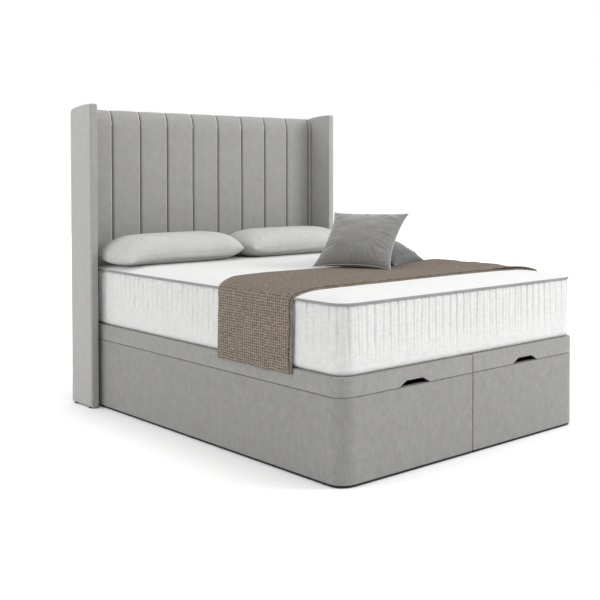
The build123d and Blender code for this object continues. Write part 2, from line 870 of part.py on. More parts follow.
def dressing():
    bed = mattress()
    cloth = throw()
    right_pillow = pillow([bed])
    rear = leaning_cushion(rear_cushion_side, rear_cushion_thickness, rear_cushion_across,
                           rear_cushion_back, rear_cushion_turn_angle,
                           rear_cushion_lean_angle, [bed, cloth])
    front = leaning_cushion(front_cushion_side, front_cushion_thickness, front_cushion_across,
                            front_cushion_back, front_cushion_turn_angle,
                            front_cushion_lean_angle, [bed, cloth, rear])
    return {
        "mattress": bed,
        "throw": cloth,
        "pillow_right": right_pillow,
        "pillow_left": mirror(right_pillow, about=Plane.YZ),
        "scatter_cushion_rear": rear,
        "scatter_cushion_front": front,
    }


def main():
    os.makedirs("parts", exist_ok=True)
    pieces = {**shared_pieces(), **dressing()}
    for name, shape in right_half().items():
        pieces[f"{name}_right"] = shape
        pieces[f"{name}_left"] = mirror(shape, about=Plane.YZ)
    for name, shape in pieces.items():
        export_step(shape, f"parts/{name}.step")


main()
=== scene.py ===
from math import asin, cos, exp, pi, radians, sin

import bmesh
import bpy
import numpy as np
from mathutils import Matrix, Vector


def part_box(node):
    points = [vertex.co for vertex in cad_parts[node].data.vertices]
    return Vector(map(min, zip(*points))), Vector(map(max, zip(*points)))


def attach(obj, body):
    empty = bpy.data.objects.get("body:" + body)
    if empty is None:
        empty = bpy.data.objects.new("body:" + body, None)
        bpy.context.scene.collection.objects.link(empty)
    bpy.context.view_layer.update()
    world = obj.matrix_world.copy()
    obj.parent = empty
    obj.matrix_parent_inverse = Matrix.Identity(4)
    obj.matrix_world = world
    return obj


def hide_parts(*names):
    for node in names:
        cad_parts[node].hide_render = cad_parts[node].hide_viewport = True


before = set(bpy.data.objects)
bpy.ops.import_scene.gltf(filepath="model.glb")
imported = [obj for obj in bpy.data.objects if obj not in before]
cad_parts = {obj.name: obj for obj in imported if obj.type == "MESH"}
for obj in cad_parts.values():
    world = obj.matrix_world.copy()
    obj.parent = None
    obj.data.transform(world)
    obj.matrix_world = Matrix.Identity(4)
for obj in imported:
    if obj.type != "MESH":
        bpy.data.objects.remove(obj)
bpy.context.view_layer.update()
scene = bpy.context.scene

# Metres. +Z up, the foot end faces -Y and the headboard stands at +Y.
softAngle = radians(38)  # edges sharper than this are shaded crisp
mergeDistance = 1e-6
# Waves of a wandering line: pace, shift with the line's number, and size
wanderWaves = [(1.9, 2.3, 1.0), (4.3, 5.1, 1.0), (8.9, 1.7, 0.6)]
wanderSize = sum(size for _, _, size in wanderWaves)


def smooth(value):
    t = max(0.0, min(1.0, value))
    return t * t * (3 - 2 * t)


def mix(a, b, share):
    return a + (b - a) * share


def alongPairs(pairs, place):
    # Value at a place on a line of (place, value) pairs
    for (start, a), (end, b) in zip(pairs, pairs[1:]):
        if place <= end:
            return mix(a, b, max(0.0, place - start) / (end - start))
    return pairs[-1][1]


def wander(place, number, length):
    # A smooth line that wanders between about -1 and 1, different for each number
    turns = place / length
    return sum(size * sin(turns * pace + number * shift)
               for pace, shift, size in wanderWaves) / wanderSize


def linked(name, data):
    obj = bpy.data.objects.new(name, data)
    scene.collection.objects.link(obj)
    return obj


def clothMesh(name, points, faces, material, sharpAngle, places):
    # A folded cloth from its own points. places: where each point lies on the flat cloth
    mesh = bpy.data.meshes.new(name)
    mesh.from_pydata([tuple(p) for p in points], [], faces)
    mesh.materials.append(material)
    corners = np.zeros(len(mesh.loops), dtype=np.int32)
    mesh.loops.foreach_get("vertex_index", corners)
    layout = mesh.uv_layers.new(name="clothPlace")
    layout.data.foreach_set("uv", np.array(places, dtype=np.float32)[corners].ravel())
    return tidied(linked(name, mesh), sharpAngle)


def tidied(obj, sharpAngle=softAngle):
    # Join doubled points, turn the faces outwards and shade the mesh smooth. Thin rims can
    # turn them all inwards, which the volume tells
    bm = bmesh.new()
    bm.from_mesh(obj.data)
    bmesh.ops.remove_doubles(bm, verts=bm.verts, dist=mergeDistance)
    bmesh.ops.recalc_face_normals(bm, faces=bm.faces)
    if bm.calc_volume(signed=True) < 0:
        bmesh.ops.reverse_faces(bm, faces=bm.faces)
    for face in bm.faces:
        face.smooth = True
    bm.to_mesh(obj.data)
    bm.free()
    obj.data.set_sharp_from_angle(angle=sharpAngle)
    return obj


def applied(obj):
    # Bake the modifiers into the mesh
    graph = bpy.context.evaluated_depsgraph_get()
    mesh = bpy.data.meshes.new_from_object(obj.evaluated_get(graph))
    obj.modifiers.clear()
    obj.data = mesh
    return obj


def welded(name, bm, material, sharpAngle):
    # A piece from its bmesh. Tidying it welds the sides that meet
    mesh = bpy.data.meshes.new(name)
    bm.to_mesh(mesh)
    bm.free()
    mesh.materials.append(material)
    return tidied(linked(name, mesh), sharpAngle)


def skin(name, loops, material, closeLoop=False, sharpAngle=softAngle, paintedShades=None):
    # A closed surface over loops of the same number of points: a grid is laid over them, its
    # two sides are welded and its ends are filled, or welded too. paintedShades: painted shade
    # and painted highlight at each point, a factor on the colour
    count, rows = len(loops[0]), len(loops)
    across = [*range(count), 0]
    along = [*range(rows), 0] if closeLoop else range(rows)
    bm = bmesh.new()
    paintedLayer = bm.verts.layers.float.new("paintedLight") if paintedShades else None
    grid = bmesh.ops.create_grid(bm, x_segments=count, y_segments=len(along) - 1, size=1)
    places = [(r, c) for r in along for c in across]
    for vert, (r, c) in zip(grid["verts"], places):
        vert.co = loops[r][c]
        if paintedShades:
            vert[paintedLayer] = paintedShades[r * count + c]
    if not closeLoop:
        bm.faces.new(grid["verts"][:count])
        bm.faces.new(grid["verts"][-count - 1:-1])
    return welded(name, bm, material, sharpAngle)


def joined(name, objects):
    # One object from several
    bm = bmesh.new()
    for obj in objects:
        bm.from_mesh(obj.data)
    mesh = bpy.data.meshes.new(name)
    bm.to_mesh(mesh)
    bm.free()
    mesh.materials.append(objects[0].data.materials[0])
    for obj in objects:
        bpy.data.objects.remove(obj)
    mesh.set_sharp_from_angle(angle=softAngle)
    return linked(name, mesh)


def placed(piece, body, slot, *nodes):
    # A finished piece rides on its body and stands for the CAD nodes that it replaces
    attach(piece, body)
    if nodes:
        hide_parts(*nodes)
    return piece


def roundedRect(low, high, bends, arcSteps=12, sideSteps=1, support=0.008):
    # Anticlockwise outline with one bend radius per corner. Points close to the bends keep
    # the shading of the long sides flat
    corners = [(low[0], low[1], 1, 1, pi), (high[0], low[1], -1, 1, 1.5 * pi),
               (high[0], high[1], -1, -1, 0), (low[0], high[1], 1, -1, 0.5 * pi)]
    arcs = []
    for (x, y, toX, toY, start), bend in zip(corners, bends):
        turns = [start + 0.5 * pi * i / arcSteps for i in range(arcSteps + 1)]
        arcs.append([(x + toX * bend + bend * cos(a), y + toY * bend + bend * sin(a))
                     for a in turns])
    points = []
    for arc, following in zip(arcs, arcs[1:] + arcs[:1]):
        a, b = Vector(arc[-1]), Vector(following[0])
        step = (b - a).normalized() * support
        first, last = a + step, b - step
        points += arc
        points += [tuple(first.lerp(last, i / sideSteps)) for i in range(sideSteps + 1)]
    return points


def quarterTurns(steps):
    # Angles of a quarter circle
    return [0.5 * pi * i / steps for i in range(steps + 1)]


def edgeLow(low, bend, steps):
    # Rounded lower edge as (height, inset) pairs, from the underside to the wall
    return [(low + bend * (1 - cos(a)), bend * (1 - sin(a))) for a in quarterTurns(steps)]


def edgeHigh(high, bend, steps):
    # Rounded upper edge, from the wall to the top
    return [(high - bend * (1 - sin(a)), bend * (1 - cos(a))) for a in quarterTurns(steps)]


def stepped(points, spacing):
    # Points at even steps along a line, with how far along it each one is
    ring = np.array(points)
    lengths = np.concatenate([[0], np.cumsum(np.linalg.norm(np.diff(ring, axis=0), axis=1))])
    at = np.linspace(0, lengths[-1], round(lengths[-1] / spacing) + 1)
    return np.stack([np.interp(at, lengths, column) for column in ring.T], 1), at


def tubeRing(center, side, up, radius, steps):
    # One ring of a tube round a line
    return [center + (side * cos(a) + up * sin(a)) * radius
            for a in (2 * pi * k / steps for k in range(steps))]


# Materials


class Nodes:
    def __init__(self, name, coords="Object"):
        self.material = bpy.data.materials.new(name)
        self.material.use_nodes = True
        self.tree = self.material.node_tree
        self.shader = self.tree.nodes["Principled BSDF"]
        self.coords = self.node("ShaderNodeTexCoord").outputs[coords]

    def node(self, kind, **values):
        made = self.tree.nodes.new(kind)
        for key, value in values.items():
            setattr(made, key, value)
        return made

    def put(self, value, socket):
        if isinstance(value, bpy.types.NodeSocket):
            self.tree.links.new(value, socket)
        else:
            socket.default_value = value

    def mapped(self, scale):
        made = self.node("ShaderNodeMapping")
        self.put(self.coords, made.inputs["Vector"])
        made.inputs["Scale"].default_value = scale
        return made.outputs["Vector"]

    def noise(self, scale, detail=2.0, roughness=0.5, source=None):
        made = self.node("ShaderNodeTexNoise")
        self.put(source or self.coords, made.inputs["Vector"])
        made.inputs["Scale"].default_value = scale
        made.inputs["Detail"].default_value = detail
        made.inputs["Roughness"].default_value = roughness
        return made.outputs["Fac"]

    def cells(self, scale, source, randomness=1.0):
        made = self.node("ShaderNodeTexVoronoi", feature="F1")
        self.put(source, made.inputs["Vector"])
        made.inputs["Scale"].default_value = scale
        made.inputs["Randomness"].default_value = randomness
        return made.outputs["Distance"]

    def math(self, operation, a, b=0.0):
        made = self.node("ShaderNodeMath", operation=operation)
        self.put(a, made.inputs[0])
        self.put(b, made.inputs[1])
        return made.outputs[0]

    def added(self, *pairs):
        # Sum of (value, weight) pairs
        total = 0.0
        for value, weight in pairs:
            total = self.math("ADD", self.math("MULTIPLY", value, weight), total)
        return total

    def ranged(self, value, low, high, toLow=0.0, toHigh=1.0):
        made = self.node("ShaderNodeMapRange")
        for socket, entry in zip(made.inputs, (value, low, high, toLow, toHigh)):
            self.put(entry, socket)
        return made.outputs[0]

    def even(self, tone, low=0.38, high=0.62):
        # The middle of a noise's range spread over 0 to 1
        return self.ranged(tone, low, high)

    def blend(self, factor, a, b):
        made = self.node("ShaderNodeMix", data_type="RGBA")
        self.put(factor, made.inputs["Factor"])
        for entry, socket in ((a, made.inputs[6]), (b, made.inputs[7])):
            self.put((*entry, 1) if isinstance(entry, tuple) else entry, socket)
        return made.outputs[2]

    def toned(self, tone, level, spread, tint):
        return self.blend(self.even(tone), tinted(level * (1 - spread), tint),
                          tinted(level * (1 + spread), tint))

    def bump(self, height, distance, strength=1.0, normal=None):
        made = self.node("ShaderNodeBump")
        self.put(height, made.inputs["Height"])
        made.inputs["Distance"].default_value = distance
        made.inputs["Strength"].default_value = strength
        if normal is not None:
            self.put(normal, made.inputs["Normal"])
        return made.outputs["Normal"]

    def finish(self, **values):
        for key, value in values.items():
            value = (*value, 1) if isinstance(value, tuple) and len(value) == 3 else value
            self.put(value, self.shader.inputs[key.replace("_", " ")])
        return self.material


def tinted(level, tint):
    return tuple(level * share for share in tint)


warmTint = (1.0, 0.994, 0.955)
velvetLook = {"cloudScale": 24, "brushScale": 90, "brushStretch": (1, 1, 0.45),
              "pileScale": 620, "cloud": 0.3, "brush": 0.4, "pile": 0.3,
              "brushDepth": 0.0008, "pileDepth": 0.0003}


def velvet(name, level, spread=0.12, sheen=0.25, tint=warmTint, withPaintedLight=False):
    # withPaintedLight: painted shade and painted highlight come from the mesh, such as in seams
    m, look = Nodes(name), velvetLook
    cloud = m.noise(look["cloudScale"], 3, 0.6)
    brushed = m.noise(look["brushScale"], 3, 0.6, m.mapped(look["brushStretch"]))
    pile = m.noise(look["pileScale"], 2, 0.6)
    tone = m.added((cloud, look["cloud"]), (brushed, look["brush"]), (pile, look["pile"]))
    color = m.toned(tone, level, spread, tint)
    # Painted shade and painted highlight from the mesh scale the colour
    if withPaintedLight:
        shade = m.node("ShaderNodeAttribute", attribute_name="paintedLight").outputs["Fac"]
        scaled = m.node("ShaderNodeVectorMath", operation="SCALE")
        m.put(color, scaled.inputs[0])
        m.put(shade, scaled.inputs["Scale"])
        color = scaled.outputs[0]
    normal = m.bump(brushed, look["brushDepth"], 0.25)
    normal = m.bump(pile, look["pileDepth"], 0.5, normal)
    return m.finish(Base_Color=color, Roughness=0.9, Normal=normal, Sheen_Weight=sheen,
                    Sheen_Roughness=0.5, Specular_IOR_Level=0.12)


wovenLook = {"cloudScale": 11, "alongStretch": (1, 0.12, 1), "acrossStretch": (0.12, 1, 0.4),
             "depth": 0.0002, "creaseScale": 19, "creaseStretch": (1.3, 0.8, 0.7)}


def wovenCloth(name, level, tint=(1, 1, 0.993), spread=0.05, threads=1100.0, creases=0.0):
    m, look = Nodes(name), wovenLook
    cloud = m.noise(look["cloudScale"], 3, 0.55)
    along = m.noise(threads, 1, 0.5, m.mapped(look["alongStretch"]))
    across = m.noise(threads, 1, 0.5, m.mapped(look["acrossStretch"]))
    weave = m.added((along, 0.5), (across, 0.5))
    tone = m.added((cloud, 0.5), (weave, 0.5))
    color = m.toned(tone, level, spread, tint)
    normal = m.bump(weave, look["depth"], 0.6)
    if creases:
        crumpled = m.noise(look["creaseScale"], 4, 0.62, m.mapped(look["creaseStretch"]))
        normal = m.bump(crumpled, creases, 0.55, normal)
    return m.finish(Base_Color=color, Roughness=0.85, Sheen_Weight=0.1,
                    Specular_IOR_Level=0.2, Normal=normal)


borderLook = {"rowScale": 420, "rowStretch": (0.18, 0.18, 1), "fineScale": 1300,
              "dashScale": 46, "dashStretch": (0.7, 0.7, 1.6), "row": 0.35, "fine": 0.2,
              "dash": 0.45, "dark": 0.955, "light": 1.02, "depth": 0.0005,
              "tint": (1, 1, 0.992)}


def borderCloth(name, level):
    # Knitted ticking with short stitched dashes in rows
    m, look = Nodes(name), borderLook
    rows = m.noise(look["rowScale"], 1, 0.4, m.mapped(look["rowStretch"]))
    fine = m.noise(look["fineScale"], 1, 0.5)
    dashes = m.noise(look["dashScale"], 1, 0.4, m.mapped(look["dashStretch"]))
    tone = m.added((rows, look["row"]), (fine, look["fine"]),
                   (m.even(dashes, 0.4, 0.6), look["dash"]))
    color = m.blend(m.even(tone, 0.3, 0.7), tinted(level * look["dark"], look["tint"]),
                    tinted(level * look["light"], look["tint"]))
    return m.finish(Base_Color=color, Roughness=0.8, Specular_IOR_Level=0.2, Sheen_Weight=0.08,
                    Normal=m.bump(tone, look["depth"], 0.5))


knitLook = {"stitch": 0.0112, "stretch": (1, 0.8, 1), "uneven": 0.25, "holeEnd": 0.18,
            "threadStart": 0.5, "yarnScale": 700, "patchScale": 30, "shadow": 0.78,
            "sideStart": 0.72, "sideReach": 0.05, "topPaintedShade": 0.8, "depth": 0.003}


def knit(name, dark, light):
    # Open knit: rows of stitches with gaps between them, over a UV laid out in metres. Painted
    # shade darkens the gaps and the part on top, against the part that hangs down the side
    m, look = Nodes(name, "UV"), knitLook
    stitches = m.cells(1 / look["stitch"], m.mapped(look["stretch"]), look["uneven"])
    fibres = m.noise(look["yarnScale"], 2, 0.6)
    patches = m.noise(look["patchScale"], 3, 0.6)
    # Painted shade: the gaps between stitches take the dark colour
    hole = m.ranged(stitches, look["holeEnd"], look["threadStart"], 1, 0)
    tone = m.added((patches, 0.5), (fibres, 0.5))
    thread = m.blend(m.even(tone), tinted(look["shadow"], light), light)
    across = m.node("ShaderNodeSeparateXYZ")
    m.put(m.coords, across.inputs[0])
    fromMiddle = m.math("ABSOLUTE", across.outputs["X"])
    # Painted shade: the part on top is darker than the part down the side
    paintedTopShade = m.ranged(fromMiddle, look["sideStart"], look["sideStart"] + look["sideReach"],
                       look["topPaintedShade"], 1)
    color = m.blend(paintedTopShade, dark, m.blend(hole, thread, dark))
    height = m.added((m.even(stitches, 0.15, look["threadStart"]), 1.0), (fibres, 0.2))
    return m.finish(Base_Color=color, Roughness=0.95, Specular_IOR_Level=0.06,
                    Sheen_Weight=0.05, Normal=m.bump(height, look["depth"], 0.9))


def yarn(name, dark, light, patchScale=60, depth=0.0006):
    m = Nodes(name)
    fibres = m.noise(knitLook["yarnScale"], 2, 0.6)
    patches = m.noise(patchScale, 3, 0.6)
    tone = m.even(m.added((fibres, 0.4), (patches, 0.6)))
    return m.finish(Base_Color=m.blend(tone, dark, light), Roughness=0.95,
                    Specular_IOR_Level=0.06, Normal=m.bump(fibres, depth, 0.6))


def grained(name, dark, light, grain, depth=0.0003):
    m = Nodes(name)
    stretched = m.mapped(grain)
    rough = m.noise(3, 5, 0.6, stretched)
    fine = m.noise(14, 4, 0.65, stretched)
    color = m.blend(m.even(m.added((rough, 0.6), (fine, 0.4)), 0.35, 0.65), dark, light)
    return m.finish(Base_Color=color, Roughness=0.65, Normal=m.bump(fine, depth, 0.5))


def pressedChips(name, dark, light, chipScale=130, fineScale=240):
    m = Nodes(name)
    chips = m.cells(chipScale, m.coords)
    fine = m.noise(fineScale, 3, 0.6)
    color = m.blend(m.even(m.added((chips, 0.6), (fine, 0.4)), 0.3), dark, light)
    return m.finish(Base_Color=color, Roughness=0.75, Normal=m.bump(chips, 0.0002, 0.4))


def metal(name, color, roughness, metallic=1.0, spread=0.08, wearScale=40, brushScale=600,
          wornShare=0.82):
    m = Nodes(name)
    wear = m.even(m.noise(wearScale, 4, 0.6), 0.3, 0.7)
    fine = m.noise(brushScale, 2, 0.5, m.mapped((1, 0.1, 0.1)))
    tone = m.blend(wear, tinted(wornShare, color), color)
    rough = m.ranged(wear, 0, 1, roughness - spread, roughness + spread)
    return m.finish(Base_Color=tone, Metallic=metallic, Roughness=rough,
                    Normal=m.bump(fine, 0.00008, 0.3))


# The same velvet in lighter and darker copies for the base, lids, wings and channels: painted
# light and shade
baseVelvet = velvet("baseVelvet", 0.23, withPaintedLight=True)
lidVelvet = velvet("lidVelvet", 0.248)
wingVelvet = velvet("wingVelvet", 0.334, 0.07, withPaintedLight=True)
padVelvet = velvet("padVelvet", 0.274, 0.08, withPaintedLight=True)
cushionVelvet = velvet("cushionVelvet", 0.165, 0.16, 0.5, (1.0, 0.99, 0.95))
# Painted highlight: the front cushion's seam is lighter than its velvet
cushionSeamHighlight = velvet("cushionSeamHighlight", 0.42, 0.1, 0.5)
rearCushionVelvet = velvet("rearCushionVelvet", 0.095, 0.16, 0.4, (0.95, 0.99, 1.0))
ticking = wovenCloth("ticking", 0.615, spread=0.02)
tickingBorder = borderCloth("tickingBorder", 0.585)
tape = wovenCloth("tape", 0.24, (1, 1, 1), 0.08)
pillowCotton = wovenCloth("pillowCotton", 0.43, (1, 1, 0.985), 0.06, creases=0.007)
throwKnit = knit("throwKnit", (0.06, 0.047, 0.035), (0.285, 0.236, 0.19))
throwYarn = yarn("throwYarn", (0.13, 0.105, 0.082), (0.27, 0.225, 0.18))
# Black cloth: the real cover on the back of the headboard, and the painted-shadow strip under the
# base
dustClothAndShadowStrip = wovenCloth("dustClothAndShadowStrip", 0.02, (1, 1, 1), 0.3, 700)
pineWood = grained("pineWood", (0.42, 0.27, 0.13), (0.62, 0.45, 0.26), (9, 1, 9))
chipboard = pressedChips("chipboard", (0.30, 0.21, 0.12), (0.52, 0.40, 0.26))
blackPlastic = metal("blackPlastic", (0.012, 0.012, 0.012), 0.5, 0.0)
blackSteel = metal("blackSteel", (0.02, 0.02, 0.022), 0.38, 0.3)
zincSteel = metal("zincSteel", (0.55, 0.55, 0.55), 0.35)
chromeRod = metal("chromeRod", (0.8, 0.8, 0.8), 0.12, 1.0, 0.03)

nodeMaterials = {
    "panel": chipboard, "storage_floor": chipboard, "lid_board": chipboard,
    "wing_board": chipboard, "headboard_face_board": chipboard, "lid_frame": pineWood,
    "headboard_frame": pineWood, "hand_hold_liner": blackPlastic, "floor_glides": blackPlastic,
    "hinge_plates": blackSteel, "lid_brackets": blackSteel, "rear_arms": blackSteel,
    "front_arms": blackSteel, "strut_cylinders": blackSteel, "strut_rods": chromeRod,
    "linking_plates": zincSteel, "headboard_bolts": zincSteel, "wing_screws": zincSteel,
    "plate_screws": zincSteel, "headboard_back_cover": dustClothAndShadowStrip,
}
for nodeName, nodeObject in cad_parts.items():
    for key, material in nodeMaterials.items():
        if key in nodeName:
            nodeObject.data.materials.clear()
            nodeObject.data.materials.append(material)
print("stage: materials ready")


# Base halves and lids, covered in velvet
lidLow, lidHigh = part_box("lid_cover_right")
baseLow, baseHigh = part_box("base_cover_right")
holdLow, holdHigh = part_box("hand_hold_liner_right")
cover = {"thick": 0.002, "lip": 0.02, "lowBend": 0.0016, "highBend": 0.0075, "lidBend": 0.007,
         "partingBend": 0.002, "splitBend": 0.0065, "smallestBend": 0.0006, "cornerBend": 0.076,
         "support": 0.014, "steps": 5, "cornerSteps": 14, "sideSteps": 6, "floorGap": 0.012,
         "underGap": 0.002, "underInset": 0.005, "partingShade": 0.3}
handHold = {"top": 0.096, "low": 0.178, "height": 0.024, "bend": 0.009, "bendSteps": 6,
            "overrun": 0.01}


def halfLoop(height, inset, mirrored):
    # Outline of one half at a height, drawn in from its sides by the inset
    low = (lidLow.x + inset, lidLow.y + inset)
    high = (lidHigh.x - inset, lidHigh.y - inset)
    small = max(cover["splitBend"] - inset, cover["smallestBend"])
    bends = (small, cover["cornerBend"] - inset, small, small)
    outline = roundedRect(low, high, bends, cover["cornerSteps"], cover["sideSteps"],
                          cover["support"])
    return [(-x if mirrored else x, y, height) for x, y in outline]


def baseCover(side):
    # The cloth hangs a little below the boards and hides most of the glides
    thick, steps, support = cover["thick"], cover["steps"], cover["support"]
    low = cover["floorGap"]
    profile = edgeLow(low, cover["lowBend"], steps)
    profile += [(low + support, 0), (baseHigh.z - support, 0)]
    profile += edgeHigh(baseHigh.z, cover["highBend"], steps)
    profile += [(baseHigh.z, cover["lip"]), (baseHigh.z - thick, cover["lip"]),
                (baseHigh.z - thick, thick), (low, thick)]
    loops = [halfLoop(z, inset, side == "left") for z, inset in profile]
    # Painted shade darkens the parting groove along the top edge, under the lid
    paintedShades = []
    for (z, inset), loop in zip(profile, loops):
        inPartingGroove = smooth(inset / cover["highBend"]) if z > baseHigh.z - cover["highBend"] else 0
        paintedShades += [mix(1, cover["partingShade"], inPartingGroove)] * len(loop)
    piece = skin(f"baseCover_{side}", loops, baseVelvet, closeLoop=True, paintedShades=paintedShades)
    placed(piece, "base", "upholstery", f"base_cover_{side}")
    # A black strip under the boards, set back from the cover: painted shadow along the floor
    under, inset = cover["underGap"], cover["underInset"]
    rim = [(under, inset), (low + thick, inset), (low + thick, inset + thick),
           (under, inset + thick)]
    loops = [halfLoop(z, place, side == "left") for z, place in rim]
    shadowStrip = skin(f"contactShadowStrip_{side}", loops, dustClothAndShadowStrip, closeLoop=True)
    placed(shadowStrip, "base", "dust_cloth")


def handHoldCutter(sign):
    # Solid that cuts the hand hold into a lid cover, with bent upper corners
    half, top, height = handHold["low"] / 2, handHold["top"] / 2, handHold["height"]
    slope = (half - top) / height
    over, steps = handHold["overrun"], handHold["bendSteps"]
    middle = sign * (holdLow.x + holdHigh.x) / 2
    corner = Vector((top, height))
    a = corner + Vector((slope, -1)).normalized() * handHold["bend"]
    b = corner + Vector((-handHold["bend"], 0))
    arc = [a.lerp(corner, share).lerp(corner.lerp(b, share), share)
           for share in (i / steps for i in range(steps + 1))]
    right = [Vector((half + slope * over, -over)), *arc]
    outline = right + [Vector((-p.x, p.y)) for p in reversed(right)]
    loops = [[(middle + p.x, y, lidLow.z + p.y) for p in outline]
             for y in (lidLow.y - over, lidLow.y + cover["lip"] * 2)]
    return skin("handHoldCutter", loops, blackPlastic)


def lidCover(side):
    thick, steps, support = cover["thick"], cover["steps"], cover["support"]
    profile = [(lidHigh.z - thick, thick), (lidLow.z, thick + cover["lowBend"])]
    profile += edgeLow(lidLow.z, cover["partingBend"], steps)
    profile += [(lidLow.z + support, 0), (lidHigh.z - support, 0)]
    profile += edgeHigh(lidHigh.z, cover["lidBend"], steps)
    profile += [(lidHigh.z, cover["lidBend"] + support)]
    loops = [halfLoop(z, inset, side == "left") for z, inset in profile]
    piece = skin(f"lidCover_{side}", loops, lidVelvet)
    cutter = handHoldCutter(-1 if side == "left" else 1)
    cut = piece.modifiers.new("handHold", "BOOLEAN")
    cut.operation, cut.solver, cut.object = "DIFFERENCE", "EXACT", cutter
    applied(piece)
    bpy.data.objects.remove(cutter)
    piece.data.set_sharp_from_angle(angle=softAngle)
    return placed(piece, f"lid_{side}", "upholstery", f"lid_cover_{side}")


for side in ("left", "right"):
    baseCover(side)
    lidCover(side)
print("stage: base and lids covered")


# Wings of the headboard
wingLow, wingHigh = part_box("wing_cover_right")
wing = {"frontBend": 0.010, "rearBend": 0.028, "topRadius": 1.08, "footBend": 0.004,
        "smallestBend": 0.001, "innerBend": 0.0045, "outerBend": 0.0125, "support": 0.006,
        "steps": 6, "footSteps": 4, "topSteps": 12, "rearSteps": 8, "rows": 9,
        "frontShades": {"left": 0.86, "right": 0.96}, "sharpAngle": radians(50)}


def arcPoints(center, radius, start, end, steps):
    turns = [mix(start, end, i / steps) for i in range(steps + 1)]
    return [(center[0] + radius * cos(a), center[1] + radius * sin(a)) for a in turns]


def wingOutline(inset):
    # Side view as (y, z) pairs. The top falls away to the rear in one long arc
    front, rear = wingLow.y + inset, wingHigh.y - inset
    low, top = wingLow.z + inset, wingHigh.z - inset
    frontBend = max(wing["frontBend"] - inset, wing["smallestBend"])
    rearBend, radius = wing["rearBend"] - inset, wing["topRadius"] - inset
    footBend = max(wing["footBend"] - inset, wing["smallestBend"])
    rows = wing["rows"]
    fall = asin((rear - front - frontBend - rearBend) / (radius - rearBend))
    topCenter = (front + frontBend, top - radius)
    rearCenter = (topCenter[0] + (radius - rearBend) * sin(fall),
                  topCenter[1] + (radius - rearBend) * cos(fall))
    # Where two arcs meet, the second starts a little late, so that no points are doubled
    late = 0.02
    points = arcPoints((front + footBend, low + footBend), footBend, 1.5 * pi, pi,
                       wing["footSteps"])
    points += [(front, mix(low, top, i / rows)) for i in range(1, rows)]
    points += arcPoints((front + frontBend, top - frontBend), frontBend, pi, 0.5 * pi,
                        wing["steps"])
    points += arcPoints(topCenter, radius, 0.5 * pi - fall * late, 0.5 * pi - fall,
                        wing["topSteps"])
    points += arcPoints(rearCenter, rearBend, 0.5 * pi - fall - late, 0, wing["rearSteps"])
    points += [(rear, mix(top, low, i / rows)) for i in range(1, rows)]
    points += arcPoints((rear - footBend, low + footBend), footBend, 0, -0.5 * pi,
                        wing["footSteps"])
    return points


def wingProfile():
    # Across the wing as (x, inset) pairs: a tight inner edge and a softer outer one
    inner, outer = wingLow.x, wingHigh.x
    profile = [(inner, wing["innerBend"] + wing["support"])]
    profile += [(inner + z, inset) for z, inset in edgeLow(0, wing["innerBend"], wing["steps"])]
    profile += [(inner + wing["innerBend"] + wing["support"], 0)]
    profile += [(outer - z, inset) for z, inset
                in reversed(edgeLow(0, wing["outerBend"], wing["steps"]))]
    return profile + [(outer, wing["outerBend"] + wing["support"])]


def wingCover(side):
    sign = -1 if side == "left" else 1
    loops = [[(sign * x, y, z) for y, z in wingOutline(inset)] for x, inset in wingProfile()]
    # Painted shade on the front edges, stronger on the left wing than on the right
    frontShade = wing["frontShades"][side]
    paintedShades = [mix(frontShade, 1, smooth((y - wingLow.y) / wing["outerBend"]))
              for loop in loops for _, y, _ in loop]
    piece = skin(f"wingCover_{side}", loops, wingVelvet, sharpAngle=wing["sharpAngle"],
                 paintedShades=paintedShades)
    return placed(piece, "base", "upholstery", f"wing_cover_{side}")


for side in ("left", "right"):
    wingCover(side)
print("stage: wings covered")


# Channels of the headboard: each runs up the board, rolls over its top and ends at the back
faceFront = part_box("headboard_face_board")[0].y
padLow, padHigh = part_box("channel_pad_1")
channel = {"count": 9, "crest": 0.015, "topCrest": 0.034, "groove": 0.0135, "topGroove": 0.0045,
           "grooveShare": 0.9, "rollHeight": 0.088, "rearDepth": 0.012, "rearHeight": 0.020,
           "seatPower": 0.3, "leftRound": 0.014, "leftShare": 0.5, "rightRound": 0.010,
           "rightShare": 0.4, "roundSteps": 7, "flatSteps": 10, "gap": 0.0009,
           "swell": 0.0016, "swellChange": 0.5, "swellLength": 0.21, "rows": 48,
           "rollRows": 18, "rearRows": 8, "shift": 0.011, "wander": 0.0009,
           "wanderLength": 0.3, "tuck": 0.012, "endShare": 0.06, "fill": 0.9,
           "seamShade": 0.25, "lipHighlight": 1.55, "lipSpread": 2}


def padStations():
    # Each station: its crest and seat as (y, z), and the depth of its grooves
    crestY, rollY = faceFront - channel["crest"], padHigh.y - channel["rearDepth"]
    rollZ, seatZ = padHigh.z - channel["rollHeight"], padHigh.z - channel["topCrest"]
    stations = []
    for i in range(channel["rows"] + 1):
        z = mix(padLow.z, rollZ, i / channel["rows"])
        stations.append(((crestY, z), (faceFront, z), channel["groove"]))
    for a in quarterTurns(channel["rollRows"])[1:]:
        across, up = max(0.0, cos(a)), sin(a)
        crest = (rollY - (rollY - crestY) * across, rollZ + channel["rollHeight"] * up)
        seat = (rollY - (rollY - faceFront) * across ** channel["seatPower"],
                rollZ + (seatZ - rollZ) * up ** channel["seatPower"])
        stations.append((crest, seat, mix(channel["groove"], channel["topGroove"], up)))
    for a in quarterTurns(channel["rearRows"])[1:]:
        y = rollY + channel["rearDepth"] * sin(a)
        crest = (y, padHigh.z - channel["rearHeight"] * (1 - cos(a)))
        stations.append((crest, (y, seatZ), channel["topGroove"]))
    return stations


